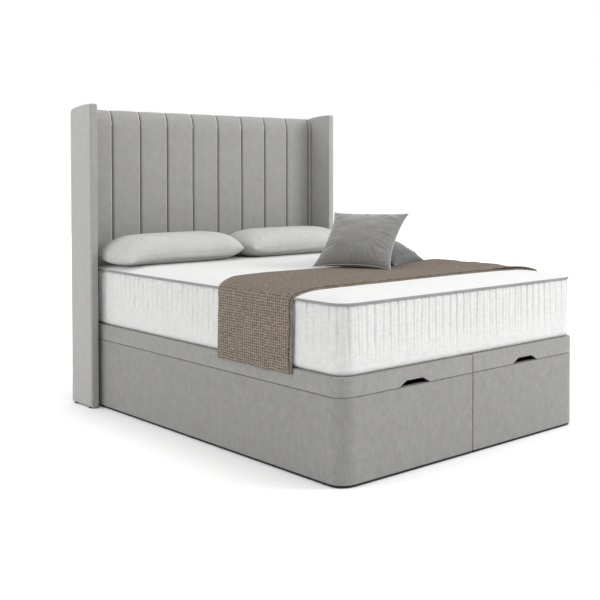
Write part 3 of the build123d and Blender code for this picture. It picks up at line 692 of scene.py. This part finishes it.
def padSection(x0, x1):
    # Across the pad as (x, share of the way up from groove to crest, place from -1 to 1,
    # painted shade: darker in the groove, with a painted highlight on the right edge)
    left = min(channel["leftRound"], channel["leftShare"] * (x1 - x0))
    right = min(channel["rightRound"], channel["rightShare"] * (x1 - x0))
    turns = quarterTurns(channel["roundSteps"])
    section = [(x0 + left * (1 - cos(a)), sin(a), mix(channel["seamShade"], 1, sin(a)))
               for a in turns]
    flat = channel["flatSteps"]
    section += [(mix(x0 + left, x1 - right, i / flat), 1, 1) for i in range(1, flat)]
    section += [(x1 - right * (1 - cos(a)), sin(a),
                 1 + (channel["lipHighlight"] - 1) * smooth(channel["lipSpread"] * cos(a)))
                for a in reversed(turns)]
    return [(x, share, 2 * (x - x0) / (x1 - x0) - 1, shade) for x, share, shade in section]


def channelPad(name, left, right, number, wandering):
    loops, paintedShades, along = [], [], 0.0
    stations, length = padStations(), channel["wanderLength"]
    for i, (crest, seat, groove) in enumerate(stations):
        crest, seat = Vector(crest), Vector(seat)
        along += (crest - Vector(stations[max(i - 1, 0)][0])).length
        toEnd = min(1.0, along / channel["tuck"])
        crest = seat.lerp(crest, max(channel["endShare"], (1 - (1 - toEnd) ** 2) ** 0.5))
        out = crest - seat
        low = crest - out.normalized() * min(groove, out.length * channel["grooveShare"])
        change = channel["swellChange"] * wander(along, number, channel["swellLength"])
        swell = channel["swell"] * (1 + change)
        x0 = left + channel["gap"] + wandering[0] * wander(along, number, length)
        x1 = right - channel["gap"] + wandering[1] * wander(along, number + 1, length)
        loop = [(x0, seat.x, seat.y)]
        section = padSection(x0, x1)
        for x, share, t, _ in section:
            y, z = low.lerp(crest + out.normalized() * swell * (1 - t * t), share)
            loop.append((x, y, z))
        loops.append(loop + [(x1, seat.x, seat.y)])
        paintedShades += [channel["seamShade"], *(shade for *_, shade in section), 1]
    return skin(name, loops, padVelvet, paintedShades=paintedShades)


for number in range(1, channel["count"] + 1):
    low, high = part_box(f"channel_pad_{number}")
    ends = [channel["wander"] if 1 < number else 0,
            channel["wander"] if number < channel["count"] else 0]
    start = low.x - (channel["shift"] if 1 < number else 0)
    piece = channelPad(f"channelPad_{number}", start, high.x - channel["shift"], number, ends)
    placed(piece, "base", "upholstery", f"channel_pad_{number}")
edgePadLow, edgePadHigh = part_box("edge_pads")
padsRight = high.x - channel["shift"]
edgePads = joined("edgePads", [
    channelPad("edgePadLeft", edgePadLow.x, padLow.x, channel["count"] + 2, [0, 0]),
    channelPad("edgePadRight", padsRight, edgePadHigh.x, channel["count"] + 3, [0, 0])])
placed(edgePads, "base", "upholstery", "edge_pads")

lowerLow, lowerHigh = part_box("headboard_lower_pad")
lowerPad = {"bend": 0.009, "support": 0.012, "bendSteps": 5, "cornerSteps": 4}
lowerProfile = [(lowerLow.y, lowerPad["bend"] + lowerPad["support"]),
                *edgeLow(lowerLow.y, lowerPad["bend"], lowerPad["bendSteps"]), (lowerHigh.y, 0)]
lowerLoops = [[(x, y, z) for x, z in
               roundedRect((lowerLow.x + inset, lowerLow.z + inset),
                           (lowerHigh.x - inset, lowerHigh.z - inset),
                           [lowerPad["bend"]] * 4, lowerPad["cornerSteps"])]
              for y, inset in lowerProfile]
lowerPiece = skin("lowerPad", lowerLoops, lidVelvet)
placed(lowerPiece, "base", "upholstery", "headboard_lower_pad")
print("stage: headboard padded")


# Mattress: ribbed border, taped edge and crowned top
mattressLow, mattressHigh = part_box("mattress")
mattress = {"crown": 0.022, "crownReach": 0.15, "crownPower": 2.2, "footBend": 0.078,
            "headBend": 0.060, "smallestBend": 0.012, "topEdge": 0.004, "ripple": 0.0006,
            "rippleLine": (3, 0.2), "rippleReach": 0.1, "sharpAngle": radians(60), "fill": 1.0}
# How far in from the edge each ring of the top lies
mattressInsets = [0.0005, 0.002, 0.006, 0.012, 0.02, 0.03, 0.042, 0.056, 0.075, 0.1, 0.13,
                  0.17, 0.25, 0.4, 0.7]
border = {"rib": 0.043, "depth": 0.006, "points": 14, "lean": 0.006, "rows": 26, "seed": 7,
          "strong": (0.65, 1.0), "faint": (0.05, 0.5), "faintPlace": (0.38, 0.62),
          "strongWidth": 0.13, "faintWidth": 0.1, "tuck": 0.005, "tuckReach": 0.02,
          "lowBend": 0.022, "lowInset": 0.016, "flatFoot": 0.02, "fadeIn": 0.13,
          "lowDepth": 0.8, "leanStart": 0.35, "bulge": 0.0012, "bulgePace": 2.1,
          "bulgeRise": 9, "underPiping": 0.6, "cornerSteps": 40, "sideSteps": 60}
piping = {"width": 0.0052, "height": 0.0112, "inset": 0.0005, "count": 420, "steps": 12,
          "cornerSteps": 30, "sideSteps": 40}
mattressHalf = mattressHigh.x - piping["width"]
mattressFront = mattressLow.y + piping["width"]
mattressRear = mattressHigh.y - piping["width"]
edgeZ = mattressHigh.z - mattress["crown"]


def crownRise(distance):
    share = max(0.0, 1 - distance / mattress["crownReach"])
    return mattress["crown"] * (1 - share ** mattress["crownPower"])


def topHeight(x, y):
    # Height of the mattress's top at a place
    return edgeZ + crownRise(min(mattressHalf - abs(x), y - mattressFront, mattressRear - y))


def mattressOutline(inset, arcSteps=14, sideSteps=10):
    bends = [max(mattress[end] - inset, mattress["smallestBend"])
             for end in ("footBend", "footBend", "headBend", "headBend")]
    return roundedRect((-mattressHalf + inset, mattressFront + inset),
                       (mattressHalf - inset, mattressRear - inset), bends, arcSteps, sideSteps)


def evenly(outline, count):
    # Points at even steps along a closed outline, with the way out at each
    ring = np.array(outline + outline[:1])
    steps = np.hypot(*np.diff(ring, axis=0).T)
    lengths = np.concatenate([[0], np.cumsum(steps)])
    at = np.arange(count) * lengths[-1] / count
    x, y = np.interp(at, lengths, ring[:, 0]), np.interp(at, lengths, ring[:, 1])
    runX, runY = np.roll(x, -1) - np.roll(x, 1), np.roll(y, -1) - np.roll(y, 1)
    size = np.hypot(runX, runY)
    return x, y, runY / size, -runX / size, lengths[-1]


def mattressBorder():
    # Quilted border: one strong upright groove and one faint one in each rib
    outline = mattressOutline(0, border["cornerSteps"], border["sideSteps"])
    perimeter = evenly(outline, 4)[4]
    ribs = round(perimeter / border["rib"])
    count = ribs * border["points"]
    x, y, outX, outY, _ = evenly(outline, count)
    phase = np.arange(count) % border["points"] / border["points"]
    number = np.arange(count) // border["points"]
    chance = np.random.default_rng(border["seed"])
    strong = chance.uniform(*border["strong"], ribs + 1)
    faint = chance.uniform(*border["faint"], ribs + 1)
    faintPlace = chance.uniform(*border["faintPlace"], ribs + 1)[number]
    lean = chance.uniform(-1, 1, ribs + 1)
    following = np.minimum(number + 1, ribs)
    leaning = (lean[number] * (1 - phase) + lean[following] * phase) * border["lean"]
    toStrong = np.minimum(phase, 1 - phase)
    strength = np.where(phase < 0.5, strong[number], strong[following % ribs])
    groove = strength * np.exp(-(toStrong / border["strongWidth"]) ** 2)
    groove += faint[number] * np.exp(-((phase - faintPlace) / border["faintWidth"]) ** 2)
    top, low = edgeZ - piping["height"] * border["underPiping"], mattressLow.z
    loops = []
    for row in range(border["rows"] + 1):
        share = row / border["rows"]
        z = mix(low, top, share)
        fromLow, fromTop = z - low, top - z
        inset = border["lowInset"] * (1 - smooth(fromLow / border["lowBend"])) ** 2 \
            + border["tuck"] * (1 - smooth(fromTop / border["tuckReach"])) ** 2
        depth = border["depth"] * smooth((fromLow - border["flatFoot"]) / border["fadeIn"]) \
            * mix(border["lowDepth"], 1, share)
        bulge = border["bulge"] * smooth(share) \
            * np.sin(number * border["bulgePace"] + share * border["bulgeRise"])
        out = -inset - depth * groove - bulge
        drift = leaning * smooth((share - border["leanStart"]) / (1 - border["leanStart"]))
        loops.append([(x[i] + outX[i] * out[i] - outY[i] * drift[i],
                       y[i] + outY[i] * out[i] + outX[i] * drift[i], z)
                      for i in range(count)])
    return skin("mattressBorder", loops, tickingBorder, sharpAngle=mattress["sharpAngle"])


def mattressTop():
    # The first ring is tucked behind the piping
    rings = [(2 * mattressInsets[0], edgeZ - mattress["topEdge"])]
    rings += [(inset, edgeZ + crownRise(inset)) for inset in mattressInsets]
    loops = [[(x, y, z + mattress["ripple"] * wander(x + y, *mattress["rippleLine"])
               * smooth(inset / mattress["rippleReach"])) for x, y in mattressOutline(inset)]
             for inset, z in rings]
    return skin("mattressTop", loops, ticking, sharpAngle=mattress["sharpAngle"])


def mattressPiping():
    # Taped edge as a tube round the outline
    outline = mattressOutline(0, piping["cornerSteps"], piping["sideSteps"])
    x, y, outX, outY, _ = evenly(outline, piping["count"])
    loops = []
    for i in range(piping["count"]):
        ring = []
        for k in range(piping["steps"]):
            a = 2 * pi * k / piping["steps"]
            out = piping["inset"] + (piping["width"] - piping["inset"]) * cos(a)
            ring.append((x[i] + outX[i] * out, y[i] + outY[i] * out,
                         edgeZ - piping["height"] / 2 * (1 - sin(a))))
        loops.append(ring)
    return skin("mattressPiping", loops, tape, closeLoop=True)


borderPiece, topPiece = mattressBorder(), mattressTop()
placed(borderPiece, "lid_left", "mattress_fabric", "mattress")
placed(topPiece, "lid_left", "mattress_fabric")
placed(mattressPiping(), "lid_left", "mattress_fabric")
print("stage: mattress ready")


# Throw: one cloth folded once, its two layers laid over the foot half of the mattress
throwLow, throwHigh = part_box("throw")
throw = {"layer": 0.0036, "gap": 0.0009, "rest": 0.0008, "step": 0.014, "columns": 56,
         "stationStep": 0.0092, "bottomWave": 0.004, "bottomReach": 0.03, "wave": 0.0011,
         "hangGap": 0.0062, "stepWander": 0.004, "frontWander": 0.0022, "rearWander": 0.003,
         "lipRise": 0.0008, "lipReach": 0.12, "sharpAngle": radians(70)}
# Number and length of each wandering line of the cloth
throwLines = {"step": (4, 0.13), "front": (1, 0.1), "rear": (2, 0.2), "lift": (9, 0.2),
              "wave": (5, 0.16), "ridge": (8, 0.1), "bottom": (6, 0.12)}
# The lifted front edge and the soft ridge near the far side. Heights are in metres, places
# are shares of the bed's half width, and the ridge's reaches are shares of the cloth's depth
throwLift = {"height": 0.007, "start": 0.35, "reach": 0.5, "change": 0.4}
throwRidge = {"height": 0.008, "start": 0.6, "rise": 0.2, "end": 0.985, "fall": 0.15,
              "frontReach": 0.3, "rearReach": 0.08, "change": 0.4}
bead = {"radius": 0.0048, "thin": 0.72, "pitch": 0.0125, "step": 0.003, "sides": 8}
# The cloth's edges as (place from side to side, share of the bed's length from the foot)
throwFront = [(-1, 0.15), (-0.8, 0.149), (-0.5, 0.15), (0.2, 0.152), (0.65, 0.145), (1, 0.112)]
throwRear = [(-1, 0.402), (-0.93, 0.422), (-0.84, 0.442), (-0.72, 0.457), (-0.57, 0.463),
             (-0.35, 0.458), (0, 0.447), (0.5, 0.432), (1, 0.42)]
bedHalf = lidHigh.x
bedLength = lidHigh.y - lidLow.y


def throwPath():
    # The cloth's inner line from the middle of the bed out over the right edge and down
    flatHalf, flatPoints, roundings = mattressHalf - 0.03, 40, 3
    pairs = [(x, topHeight(x, 0) + throw["rest"]) for x in np.linspace(0, flatHalf, flatPoints)]
    hang = throwHigh.x - 2 * throw["layer"] - throw["hangGap"]
    # Over the mattress's edge and down its side, which the cloth leaves a little towards its end
    pairs += [(mattressHalf - 0.014, edgeZ + 0.0065), (mattressHalf + 0.001, edgeZ + 0.0022),
              (hang - 0.0012, edgeZ - 0.008), (hang, edgeZ - 0.03), (hang, edgeZ - 0.08),
              (hang + 0.0006, edgeZ - 0.17), (hang + 0.0026, throwLow.z)]
    fine, at = stepped(pairs, throw["stationStep"])
    for _ in range(roundings):
        fine[1:-1] = (fine[:-2] + 2 * fine[1:-1] + fine[2:]) / 4
    left = fine[:0:-1] * (-1, 1)
    path = np.concatenate([left, fine])
    run = np.gradient(path, axis=0)
    run /= np.hypot(*run.T)[:, None]
    return path, np.stack([-run[:, 1], run[:, 0]], 1), at[-1]


def throwSection():
    # Once round both layers as (share from front to rear, layer, offset in that layer's
    # thickness, end): the lower layer's underside first, then the fold, then the upper one
    columns = throw["columns"]
    shares = [i / columns for i in range(columns + 1)]
    under = [(share, 0, 0.0, 0) for share in shares]
    fold = [(1, 0, 0.0, a) for a in (0.25, 0.5, 0.75)]
    over = [(share, 1, 1.0, 0) for share in reversed(shares)]
    overEnd = [(0, 1, 0.5, -1)]
    inner = [(share, 1, 0.0, 0) for share in shares[:-1]]
    back = [(share, 0, 1.0, 0) for share in reversed(shares[:-1])]
    return under + fold + over + overEnd + inner + back + [(0, 0, 0.5, -1)]


def throwCloth():
    path, normals, half = throwPath()
    section = throwSection()
    layer, gap = throw["layer"], throw["gap"]
    total = 2 * layer + gap
    loops, places, depths, edges = [], [], [], ([], [])
    stations = len(path)
    for i, ((x, z), (outX, outZ)) in enumerate(zip(path, normals)):
        across = (i / (stations - 1) * 2 - 1) * half
        place = max(-1.0, min(1.0, x / bedHalf))
        ownStep = throw["step"] + throw["stepWander"] * wander(across, *throwLines["step"])
        front = lidLow.y + alongPairs(throwFront, place) * bedLength \
            + throw["frontWander"] * wander(across, *throwLines["front"])
        rear = lidLow.y + alongPairs(throwRear, place) * bedLength \
            + throw["rearWander"] * wander(across, *throwLines["rear"])
        depths.append(rear - front)
        fromEnd = min(i, stations - 1 - i) / (stations - 1)
        lift = throwLift["height"] * smooth((place - throwLift["start"]) / throwLift["reach"]) \
            * (1 - throwLift["change"] * (1 - wander(across, *throwLines["lift"])))
        ridge = throwRidge["height"] * smooth((place - throwRidge["start"]) / throwRidge["rise"]) \
            * smooth((throwRidge["end"] - place) / throwRidge["fall"])
        loop = []
        for share, isUpper, offset, end in section:
            start = front + ownStep * isUpper
            y = mix(start, rear, share)
            height = offset * layer + (layer + gap) * isUpper
            near = 1 - smooth(share / throw["lipReach"])
            height += isUpper * near * (throw["lipRise"] + max(0.0, lift))
            slanted = wander(y * 1.3 + across * 0.8, *throwLines["wave"])
            height += throw["wave"] * (1 + slanted) * 0.5
            height += ridge * smooth(share / throwRidge["frontReach"]) \
                * smooth((1 - share) / throwRidge["rearReach"]) \
                * (1 + throwRidge["change"] * wander(y, *throwLines["ridge"]))
            if end > 0:
                y = rear + total / 2 * sin(pi * end)
                height = total / 2 * (1 - cos(pi * end))
            if end < 0:
                y -= layer * 0.5
            hang = throw["bottomWave"] * wander(y, *throwLines["bottom"]) \
                * (1 - smooth(fromEnd / throw["bottomReach"]))
            loop.append((x + outX * height, y, z + outZ * height + hang))
            if end < 0:
                edges[isUpper].append(Vector(loop[-1]))
            places.append((across, y))
        loops.append(loop)
    count = len(section)
    faces = []
    for r in range(stations - 1):
        a, b = r * count, (r + 1) * count
        faces += [(a + c, a + (c + 1) % count, b + (c + 1) % count, b + c) for c in range(count)]
    # Close the two hanging ends: a strip per layer, and one behind the fold
    columns = throw["columns"]
    lower = list(range(columns + 1))
    upper = list(range(columns + 4, 2 * columns + 5))
    innerStart = 2 * columns + 6
    inner = list(range(innerStart, innerStart + columns))
    back = list(range(innerStart + columns, innerStart + 2 * columns))
    tips = (2 * columns + 5, count - 1)
    for base in (0, (stations - 1) * count):
        overRow = upper[::-1]
        backRow = back[::-1]
        for c in range(columns - 1):
            faces.append((base + lower[c], base + lower[c + 1], base + backRow[c + 1],
                          base + backRow[c]))
            faces.append((base + overRow[c], base + overRow[c + 1], base + inner[c + 1],
                          base + inner[c]))
        faces.append((base + lower[0], base + backRow[0], base + tips[1]))
        faces.append((base + overRow[0], base + inner[0], base + tips[0]))
        foldRow = [columns + 1, columns + 2, columns + 3]
        faces.append(tuple(base + k for k in (lower[-2], lower[-1], *foldRow, overRow[-1],
                                              overRow[-2], inner[-1], backRow[-1])))
    points = [p for loop in loops for p in loop]
    cloth = clothMesh("throwCloth", points, faces, throwKnit, throw["sharpAngle"], places)
    return cloth, half, depths, edges


def beadedEdge(name, points):
    # A row of firm stitches along a cut edge, thick and thin by turns
    fine, at = stepped(points, bead["step"])
    fine = [Vector(p) for p in fine]
    loops = []
    for i, p in enumerate(fine):
        run = (fine[min(i + 1, len(fine) - 1)] - fine[max(i - 1, 0)]).normalized()
        side = Vector((0, 1, 0))
        thick = bead["thin"] + (1 - bead["thin"]) * cos(2 * pi * at[i] / bead["pitch"])
        loops.append(tubeRing(p, side, run.cross(side).normalized(), bead["radius"] * thick,
                              bead["sides"]))
    return skin(name, loops, throwYarn)


throwPiece, throwHalf, throwDepths, throwEdges = throwCloth()
placed(throwPiece, "lid_left", "throw_knit", "throw")
throwHems = [beadedEdge(f"throwEdge_{place}", points)
             for place, points in zip(("lower", "upper"), throwEdges)]
for piece in throwHems:
    placed(piece, "lid_left", "throw_knit")
print("stage: throw laid")


# Pillows and cushions: crowned closed bags with a sewn rim
bagAngle = radians(80)
gathers = {"slant": 0.7, "slantLength": 0.3, "jitter": 4, "jitterLength": 0.09,
           "size": 0.55, "sizeChange": 0.75, "sizeLength": 0.07}


def spread(i, count, crowding=0.75):
    # Places from -1 to 1 that lie closer together towards the rim
    return mix(2 * i / count - 1, sin(pi * (i / count - 0.5)), crowding)


def puckers(place, number, toRim, reach, pitch):
    # Small slanting gathers that start at the seam and fade out over the reach
    slant = place + gathers["slant"] * toRim * wander(place, number + 2, gathers["slantLength"])
    jitter = gathers["jitter"] * wander(slant, number, gathers["jitterLength"])
    change = gathers["sizeChange"] * wander(place, number + 7, gathers["sizeLength"])
    size = max(0.0, gathers["size"] + change)
    away = toRim / reach
    return sin(2 * pi * slant / pitch + jitter) * size * away * exp(1 - away)


def folds(x, y, lines, bank=0.4, bankPlace=1.7):
    # Soft creases along lines (x0, y0, x1, y1, width, depth), with a low bank beside each,
    # fading at both ends
    total = 0.0
    for x0, y0, x1, y1, width, depth in lines:
        a, run = Vector((x0, y0)), Vector((x1 - x0, y1 - y0))
        along = (Vector((x, y)) - a).dot(run) / run.length_squared
        share = max(0.0, min(1.0, along))
        away = (Vector((x, y)) - a - run * share).length / width
        total -= depth * sin(pi * share) ** 0.5 \
            * (exp(-away * away) - bank * exp(-(away - bankPlace) ** 2))
    return total


def bag(name, cells, surface, material):
    # Two grids over places from -1 to 1 each way, welded along their rim. The rim's points
    # come back for the seam
    nx, ny = cells

    def point(i, j, sheet):
        onRim = i in (0, nx) or j in (0, ny)
        return surface(spread(i, nx), spread(j, ny), 0 if onRim else sheet)

    bm = bmesh.new()
    for sheet in (1, -1):
        grid = bmesh.ops.create_grid(bm, x_segments=nx, y_segments=ny, size=1)
        for number, vert in enumerate(grid["verts"]):
            j, i = divmod(number, nx + 1)
            vert.co = point(i, j, sheet)
    rim = [(i, 0) for i in range(nx)] + [(nx, j) for j in range(ny)]
    rim += [(nx - i, ny) for i in range(nx)] + [(0, ny - j) for j in range(ny)]
    return welded(name, bm, material, bagAngle), [Vector(point(i, j, 1)) for i, j in rim]


def seamTube(name, points, radius, material, sides=6):
    # Sewn edge: a thin closed tube along the rim of a bag
    count = len(points)
    loops = []
    for i, p in enumerate(points):
        run = (points[(i + 1) % count] - points[i - 1]).normalized()
        side = run.cross(Vector((0, 0, 1))).normalized()
        loops.append(tubeRing(p, side, side.cross(run), radius, sides))
    return skin(name, loops, material, closeLoop=True, sharpAngle=bagAngle)


def restOnMattress(x, y, clearance=0.0006):
    return topHeight(x, y) + clearance


pillow = {"cells": (96, 60), "rim": 0.061, "above": 0.091, "below": 0.0715, "endPower": 5,
          "sidePower": 2.6, "sidePull": 0.03, "frontInset": 0.05, "seam": 0.0014,
          "slack": 0.002, "slackLengths": (0.2, 0.16), "pucker": 0.0022, "reach": 0.022,
          "pitch": 0.034, "rimFlat": 4, "fill": 0.8}
# How far the left and right ends pull in between their corners
pillowPulls = {"left": (0.057, 0.10), "right": (0.08, 0.06)}
# Height of the rim above the mattress at front left, front right, rear left and rear right
pillowLifts = {"left": (0.04, 0.061, 0.05, 0.06), "right": (0.052, 0.045, 0.06, 0.05)}
# Number of each pillow's wandering lines
pillowNumbers = {"left": 3, "right": 8}
# Creases low on the front, measured from the middle of the pillow
pillowFolds = {"left": [(-0.18, -0.175, 0.28, -0.165, 0.012, 0.006),
                        (-0.26, -0.14, -0.20, -0.19, 0.008, 0.003),
                        (-0.30, -0.12, -0.28, -0.19, 0.008, 0.003)],
               "right": [(-0.28, -0.165, 0.2, -0.178, 0.012, 0.006),
                         (0.22, -0.13, 0.27, -0.19, 0.009, 0.003)]}


def inside(u, v, steepness):
    # 0 on the rim of a bag and 1 well inside it
    return smooth(steepness * (1 - abs(u))) * smooth(steepness * (1 - abs(v)))


def pillowPoint(side, low, high, u, v, sheet):
    length, depth = high.x - low.x, high.y - low.y - pillow["frontInset"]
    x = length / 2 * u * (1 - mix(*pillowPulls[side], (u + 1) / 2) * v * v)
    y = depth / 2 * v * (1 - pillow["sidePull"] * (1 - u * u))
    frontLeft, frontRight, rearLeft, rearRight = pillowLifts[side]
    front, rear = mix(frontLeft, frontRight, (u + 1) / 2), mix(rearLeft, rearRight, (u + 1) / 2)
    rim = mix(pillow["rim"], mix(front, rear, (v + 1) / 2), abs(u * v) ** 3)
    swell = ((1 - abs(u) ** pillow["endPower"]) * (1 - abs(v) ** pillow["sidePower"])) ** 0.5
    toEnd, toSide = (1 - abs(u)) * length / 2, (1 - abs(v)) * depth / 2
    number = pillowNumbers[side]
    gathered = puckers(x, number, toSide, pillow["reach"], pillow["pitch"]) \
        + puckers(y, number + 1, toEnd, pillow["reach"], pillow["pitch"])
    z = rim
    if sheet > 0:
        along, across = pillow["slackLengths"]
        z += pillow["above"] * swell \
            + pillow["slack"] * wander(x, number, along) * wander(y, number, across)
    if sheet < 0:
        z -= pillow["below"] * swell - folds(x, y, pillowFolds[side])
    z += sheet * pillow["pucker"] * gathered * inside(u, v, pillow["rimFlat"])
    place = Vector(((low.x + high.x) / 2 + x, high.y - depth / 2 + y, 0))
    rest = restOnMattress(place.x, place.y)
    place.z = max(rest, rest + z)
    return place


for side in ("left", "right"):
    low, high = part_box(f"pillow_{side}")
    piece, rim = bag(f"bedPillow_{side}", pillow["cells"],
                     lambda u, v, sheet: pillowPoint(side, low, high, u, v, sheet), pillowCotton)
    placed(piece, "lid_left", "pillow_fabric", f"pillow_{side}")
    seam = seamTube(f"pillowSeam_{side}", rim, pillow["seam"], pillowCotton)
    placed(seam, "lid_left", "pillow_fabric")
print("stage: pillows filled")


cushions = {
    "rear": {"side": 0.360, "thickness": 0.120, "pull": 0.07, "turn": radians(20.7),
             "lean": radians(68.8), "number": 21, "material": rearCushionVelvet,
             "seam": rearCushionVelvet},
    "front": {"side": 0.400, "thickness": 0.136, "pull": 0.13, "turn": radians(-61.4),
              "lean": radians(50.4), "number": 34, "material": cushionVelvet,
              "seam": cushionSeamHighlight},
}
cushionShape = {"cells": (72, 72), "power": 2.3, "swellPower": 0.5, "pullPower": 2.4,
                "pucker": 0.0042, "reach": 0.024, "pitch": 0.026, "rimFlat": 5, "seam": 0.0018,
                "slack": 0.006, "slackLengths": (0.14, 0.11), "slackRim": 2, "fill": 0.85}


def cushionPoint(cushion, matrix, u, v, sheet):
    side, pull, power = cushion["side"], cushion["pull"], cushionShape["power"]
    x = side / 2 * u * (1 - pull * (1 - abs(v) ** cushionShape["pullPower"]))
    y = side / 2 * v * (1 - pull * (1 - abs(u) ** cushionShape["pullPower"]))
    swell = ((1 - abs(u) ** power) * (1 - abs(v) ** power)) ** cushionShape["swellPower"]
    number, reach, pitch = cushion["number"], cushionShape["reach"], cushionShape["pitch"]
    gathered = puckers(x, number, (1 - abs(v)) * side / 2, reach, pitch) \
        + puckers(y, number + 1, (1 - abs(u)) * side / 2, reach, pitch)
    along, across = cushionShape["slackLengths"]
    slack = cushionShape["slack"] * wander(x, number, along) * wander(y, number, across)
    z = cushion["thickness"] / 2 * swell + slack * inside(u, v, cushionShape["slackRim"]) \
        + cushionShape["pucker"] * gathered * inside(u, v, cushionShape["rimFlat"])
    place = matrix @ Vector((x, y, sheet * z))
    place.z = max(place.z, restOnMattress(place.x, place.y))
    return place


for key, cushion in cushions.items():
    low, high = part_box(f"scatter_cushion_{key}")
    matrix = Matrix.Translation((low + high) / 2) @ Matrix.Rotation(cushion["turn"], 4, "Z")
    matrix = matrix @ Matrix.Rotation(0.5 * pi - cushion["lean"], 4, "X")
    piece, rim = bag(f"scatterCushion_{key}", cushionShape["cells"],
                     lambda u, v, sheet: cushionPoint(cushion, matrix, u, v, sheet),
                     cushion["material"])
    placed(piece, "lid_left", "cushion_fabric", f"scatter_cushion_{key}")
    seam = seamTube(f"cushionSeam_{key}", rim, cushionShape["seam"], cushion["seam"])
    placed(seam, "lid_left", "cushion_fabric")
print("stage: cushions filled")


# Camera, lights and floor
# The photo's camera: its angles in radians, its centre in pixels from the top left corner
cameraYaw, cameraPitch, cameraRoll = 0.7632, 0.0275, 0.0013
cameraPlace = (-3.241, -3.8933, 1.2255)
focalPixels, picturePixels, sensorWidth = 1006.23, 600, 36
centreX, centreY = 387.43, 196.32
camera = bpy.data.cameras.new("camera")
camera.sensor_width = sensorWidth
camera.lens = focalPixels / picturePixels * sensorWidth
camera.shift_x = (picturePixels / 2 - centreX) / picturePixels
camera.shift_y = (centreY - picturePixels / 2) / picturePixels
cameraObject = linked("camera", camera)
turn = Matrix.Rotation(-cameraYaw, 4, "Z") @ Matrix.Rotation(pi / 2 - cameraPitch, 4, "X")
turn = turn @ Matrix.Rotation(cameraRoll, 4, "Z")
cameraObject.matrix_world = Matrix.Translation(cameraPlace) @ turn
scene.camera = cameraObject

# Area lights, in metres and watts
lights = {
    "keyLight": {"place": (5.5, -6.0, 4.5), "target": (0, 0, 0.5), "size": (3.2, 3.2),
                 "power": 410},
    "leftLight": {"place": (-6.0, 2.5, 3.0), "target": (-0.8, 0, 0.6), "size": (3, 3),
                  "power": 94},
    "topLight": {"place": (0.4, 0.6, 4.8), "target": (0, 0.2, 0.5), "size": (3.5, 3.5),
                 "power": 40},
}
for name, entry in lights.items():
    light = bpy.data.lights.new(name, "AREA")
    light.shape = "RECTANGLE"
    light.size, light.size_y = entry["size"]
    light.energy = entry["power"]
    lamp = linked(name, light)
    lamp.location = entry["place"]
    aim = Vector(entry["target"]) - Vector(entry["place"])
    lamp.rotation_euler = aim.to_track_quat("-Z", "Y").to_euler()

world = bpy.data.worlds.new("studio")
scene.world = world
world.use_nodes = True
surround = world.node_tree.nodes["Background"]
surround.inputs["Color"].default_value = (1, 1, 1, 1)
surround.inputs["Strength"].default_value = 1.0

# The floor is lifted towards white away from the bed only, so that its shadow stays
studioFloor = {"half": 14, "glow": 0.25, "glowReach": 0.7, "color": (0.93, 0.93, 0.93)}


def floorWhite():
    m = Nodes("floorWhite")
    place = m.node("ShaderNodeSeparateXYZ")
    m.put(m.coords, place.inputs[0])
    squares = []
    for axis, half in (("X", baseHigh.x), ("Y", -baseLow.y)):
        beyond = m.math("SUBTRACT", m.math("ABSOLUTE", place.outputs[axis]), half)
        beyond = m.math("MAXIMUM", beyond, 0.0)
        squares.append((m.math("MULTIPLY", beyond, beyond), 1.0))
    fromBed = m.math("SQRT", m.added(*squares))
    seen = m.node("ShaderNodeLightPath").outputs["Is Camera Ray"]
    glow = m.math("MULTIPLY", m.ranged(fromBed, 0.0, studioFloor["glowReach"]), seen)
    return m.finish(Base_Color=studioFloor["color"], Roughness=0.9, Specular_IOR_Level=0.0,
                    Emission_Color=(1, 1, 1),
                    Emission_Strength=m.math("MULTIPLY", glow, studioFloor["glow"]))


bm = bmesh.new()
bmesh.ops.create_grid(bm, x_segments=1, y_segments=1, size=studioFloor["half"])
floorMesh = bpy.data.meshes.new("studioFloor")
bm.to_mesh(floorMesh)
bm.free()
floorMesh.materials.append(floorWhite())
linked("studioFloor", floorMesh)
scene.view_settings.view_transform = "Standard"
print("stage: camera and lights ready")
